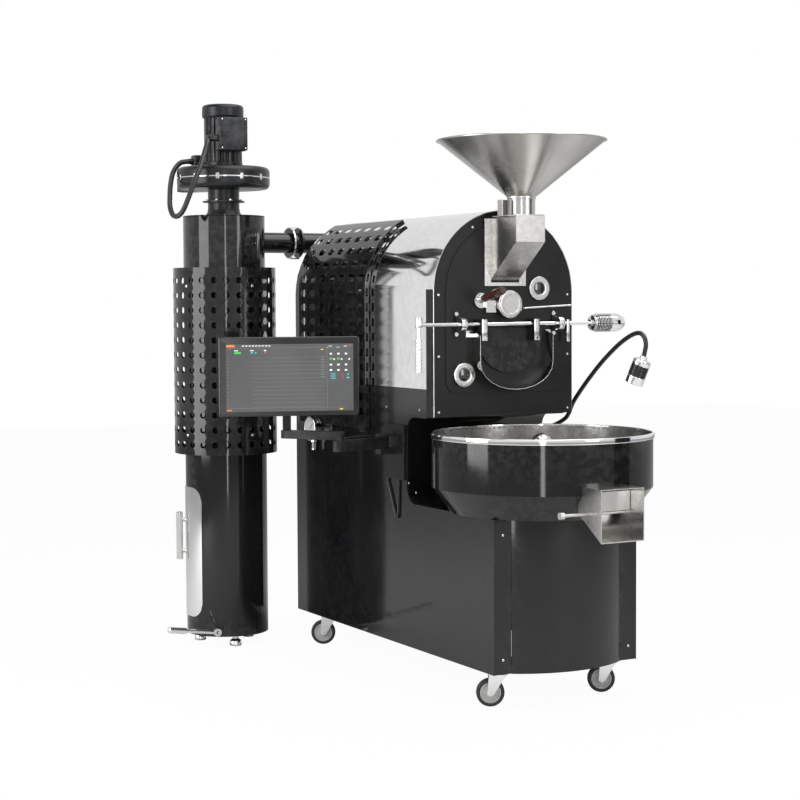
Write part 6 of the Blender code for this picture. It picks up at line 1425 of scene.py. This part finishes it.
gauge_at = Vector((-HALF - 0.0004, 0.966, 0.900))


def gauge_case(bm):
    turned(bm, soft([(0.030, 0.0), (0.046, 0.002), (0.046, 0.030), (0.050, 0.032), (0.050, 0.038), (0.0455,
        0.0395),
                     (0.0445, 0.0345)], 0.003), gauge_at, (-1, 0, 0), 72)
    turned(bm, soft([(0.009, 0), (0.009, 0.028), (0.012, 0.029), (0.012, 0.040), (0.008, 0.041)], 0.001),
           gauge_at + Vector((-0.018, 0, -0.086)), (0, 0, 1), 6)


make("gas_gauge_case", CHROME, "machine", gauge_case)
make("gas_gauge_face", GAUGE_FACE, "machine",
     lambda bm: turned(bm, [(0.0446, 0.0335), (0.0443, 0.0350), (0, 0.0352)], gauge_at, (-1, 0, 0), 64))


def gauge_marks(bm):
    for k in range(11):
        a = radians(225 - 27 * k)
        place = Matrix.Translation(gauge_at + Vector((-0.0353, -0.036 * cos(a),
            0.036 * sin(a)))) @ Matrix.Rotation(
            -a, 4, "X")
        block(bm, (-0.0003, -0.0040, -0.0008), (0.0002, 0.0040, 0.0008), 0.0001, place)
    block(bm, (-0.0008, -0.001, -0.006), (0.0, 0.001, 0.032), 0.0003,
          Matrix.Translation(gauge_at + Vector((-0.0355, 0, 0))) @ Matrix.Rotation(radians(48), 4, "X"))


make("gas_gauge_marks", BEZEL, "machine", gauge_marks)
tell("arm cable and gauge")


# %% [markdown]
# The casters are plain shop casters: a black tyre on a pale nylon hub, in a bent chrome fork.

# %% Caster wheels
for place in ("front_left", "front_right", "rear_left", "rear_right"):
    low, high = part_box(place + "_caster_wheel")
    centre = (low + high) / 2 - SHIFT
    axle = Vector((cos(radians(62)), sin(radians(62)), 0))

    def tyre(bm):
        turned(bm, soft([(0.036, -0.0130), (0.0440, -0.0158), (0.0498, -0.0100), (0.0498, 0.0100), (0.0440,
            0.0158),
                         (0.036, 0.0130)], 0.005), centre, axle, 96)

    def hub(bm):
        half = [(0.0065, 0.0150), (0.0120, 0.0150), (0.0135, 0.0120), (0.0290, 0.0100), (0.0320, 0.0130),
            (0.0365, 0.0132)]
        turned(bm, half + [(r, -z) for r, z in reversed(half)], centre, axle, 96)
    make(place + "_tyre", RUBBER, place + "_caster_roller", tyre, nodes=(place + "_caster_wheel",))
    make(place + "_hub", NYLON, place + "_caster_roller", hub)
tell("caster wheels")


# %% [markdown]
# Small silver screws hold the face plate, the cabinet's sides and the front strips.

# %% Panel screws
face = [(s * 0.279, -0.0002, z) for s in (-1, 1) for z in (1.441, 1.217, 1.0135)]
face += [(s * 0.1375, -0.0002, 1.6877) for s in (-1, 1)]
face = [(x, (FACE if abs(x) < 0.252 and z < 1.70 else 0.0) - 0.0002, z) for x, _, z in face]
screws("face_screws", POLISHED, "machine", face, (0, -1, 0), 0.0050, 0.0026)
flank = [(0.3672, 1.0181), (0.1098, 1.0185), (0.193, 0.7416), (0.1373, 0.7107), (0.95, 1.018), (0.66, 1.018)]
screws("left_screws", POLISHED, "machine", [(-HALF - 0.0001, y, z) for y, z in flank], (-1, 0, 0), 0.0045,
    0.0022)
screws("right_screws", POLISHED, "machine", [(HALF + 0.0001, y, z) for y, z in flank], (1, 0, 0), 0.0045,
    0.0022)
strip_spots = [(s * 0.2640, -0.4132, z) for s in (-1, 1) for z in (0.6114, 0.1766)]
screws("strip_screws", POLISHED, "machine", strip_spots, (0, -1, 0), 0.0050, 0.0024)
spots = [(-0.0817, -0.0104, 1.5989), (-0.0568, -0.0104, 1.5991), (-0.0822, -0.0104, 1.4845), (0.0671,
    -0.0104, 1.4843)]
screws("feed_frame_screws", POLISHED, "machine", spots, (0, -1, 0), 0.0048, 0.0022)
guard = []
for turn, z in ((279, 1.4838), (278, 0.8757), (200, 1.4838), (200, 0.8757)):
    out = Vector((cos(radians(turn)), sin(radians(turn)), 0))
    guard.append((COLUMN + out * (GUARD_R + 0.0001) + Vector((0, 0, z)), out))
bm = bmesh.new()
for spot, out in guard:
    screw(bm, spot, out, 0.0062, 0.003)
keep("guard_screws", bm, POLISHED, "machine")
tell("panel screws")
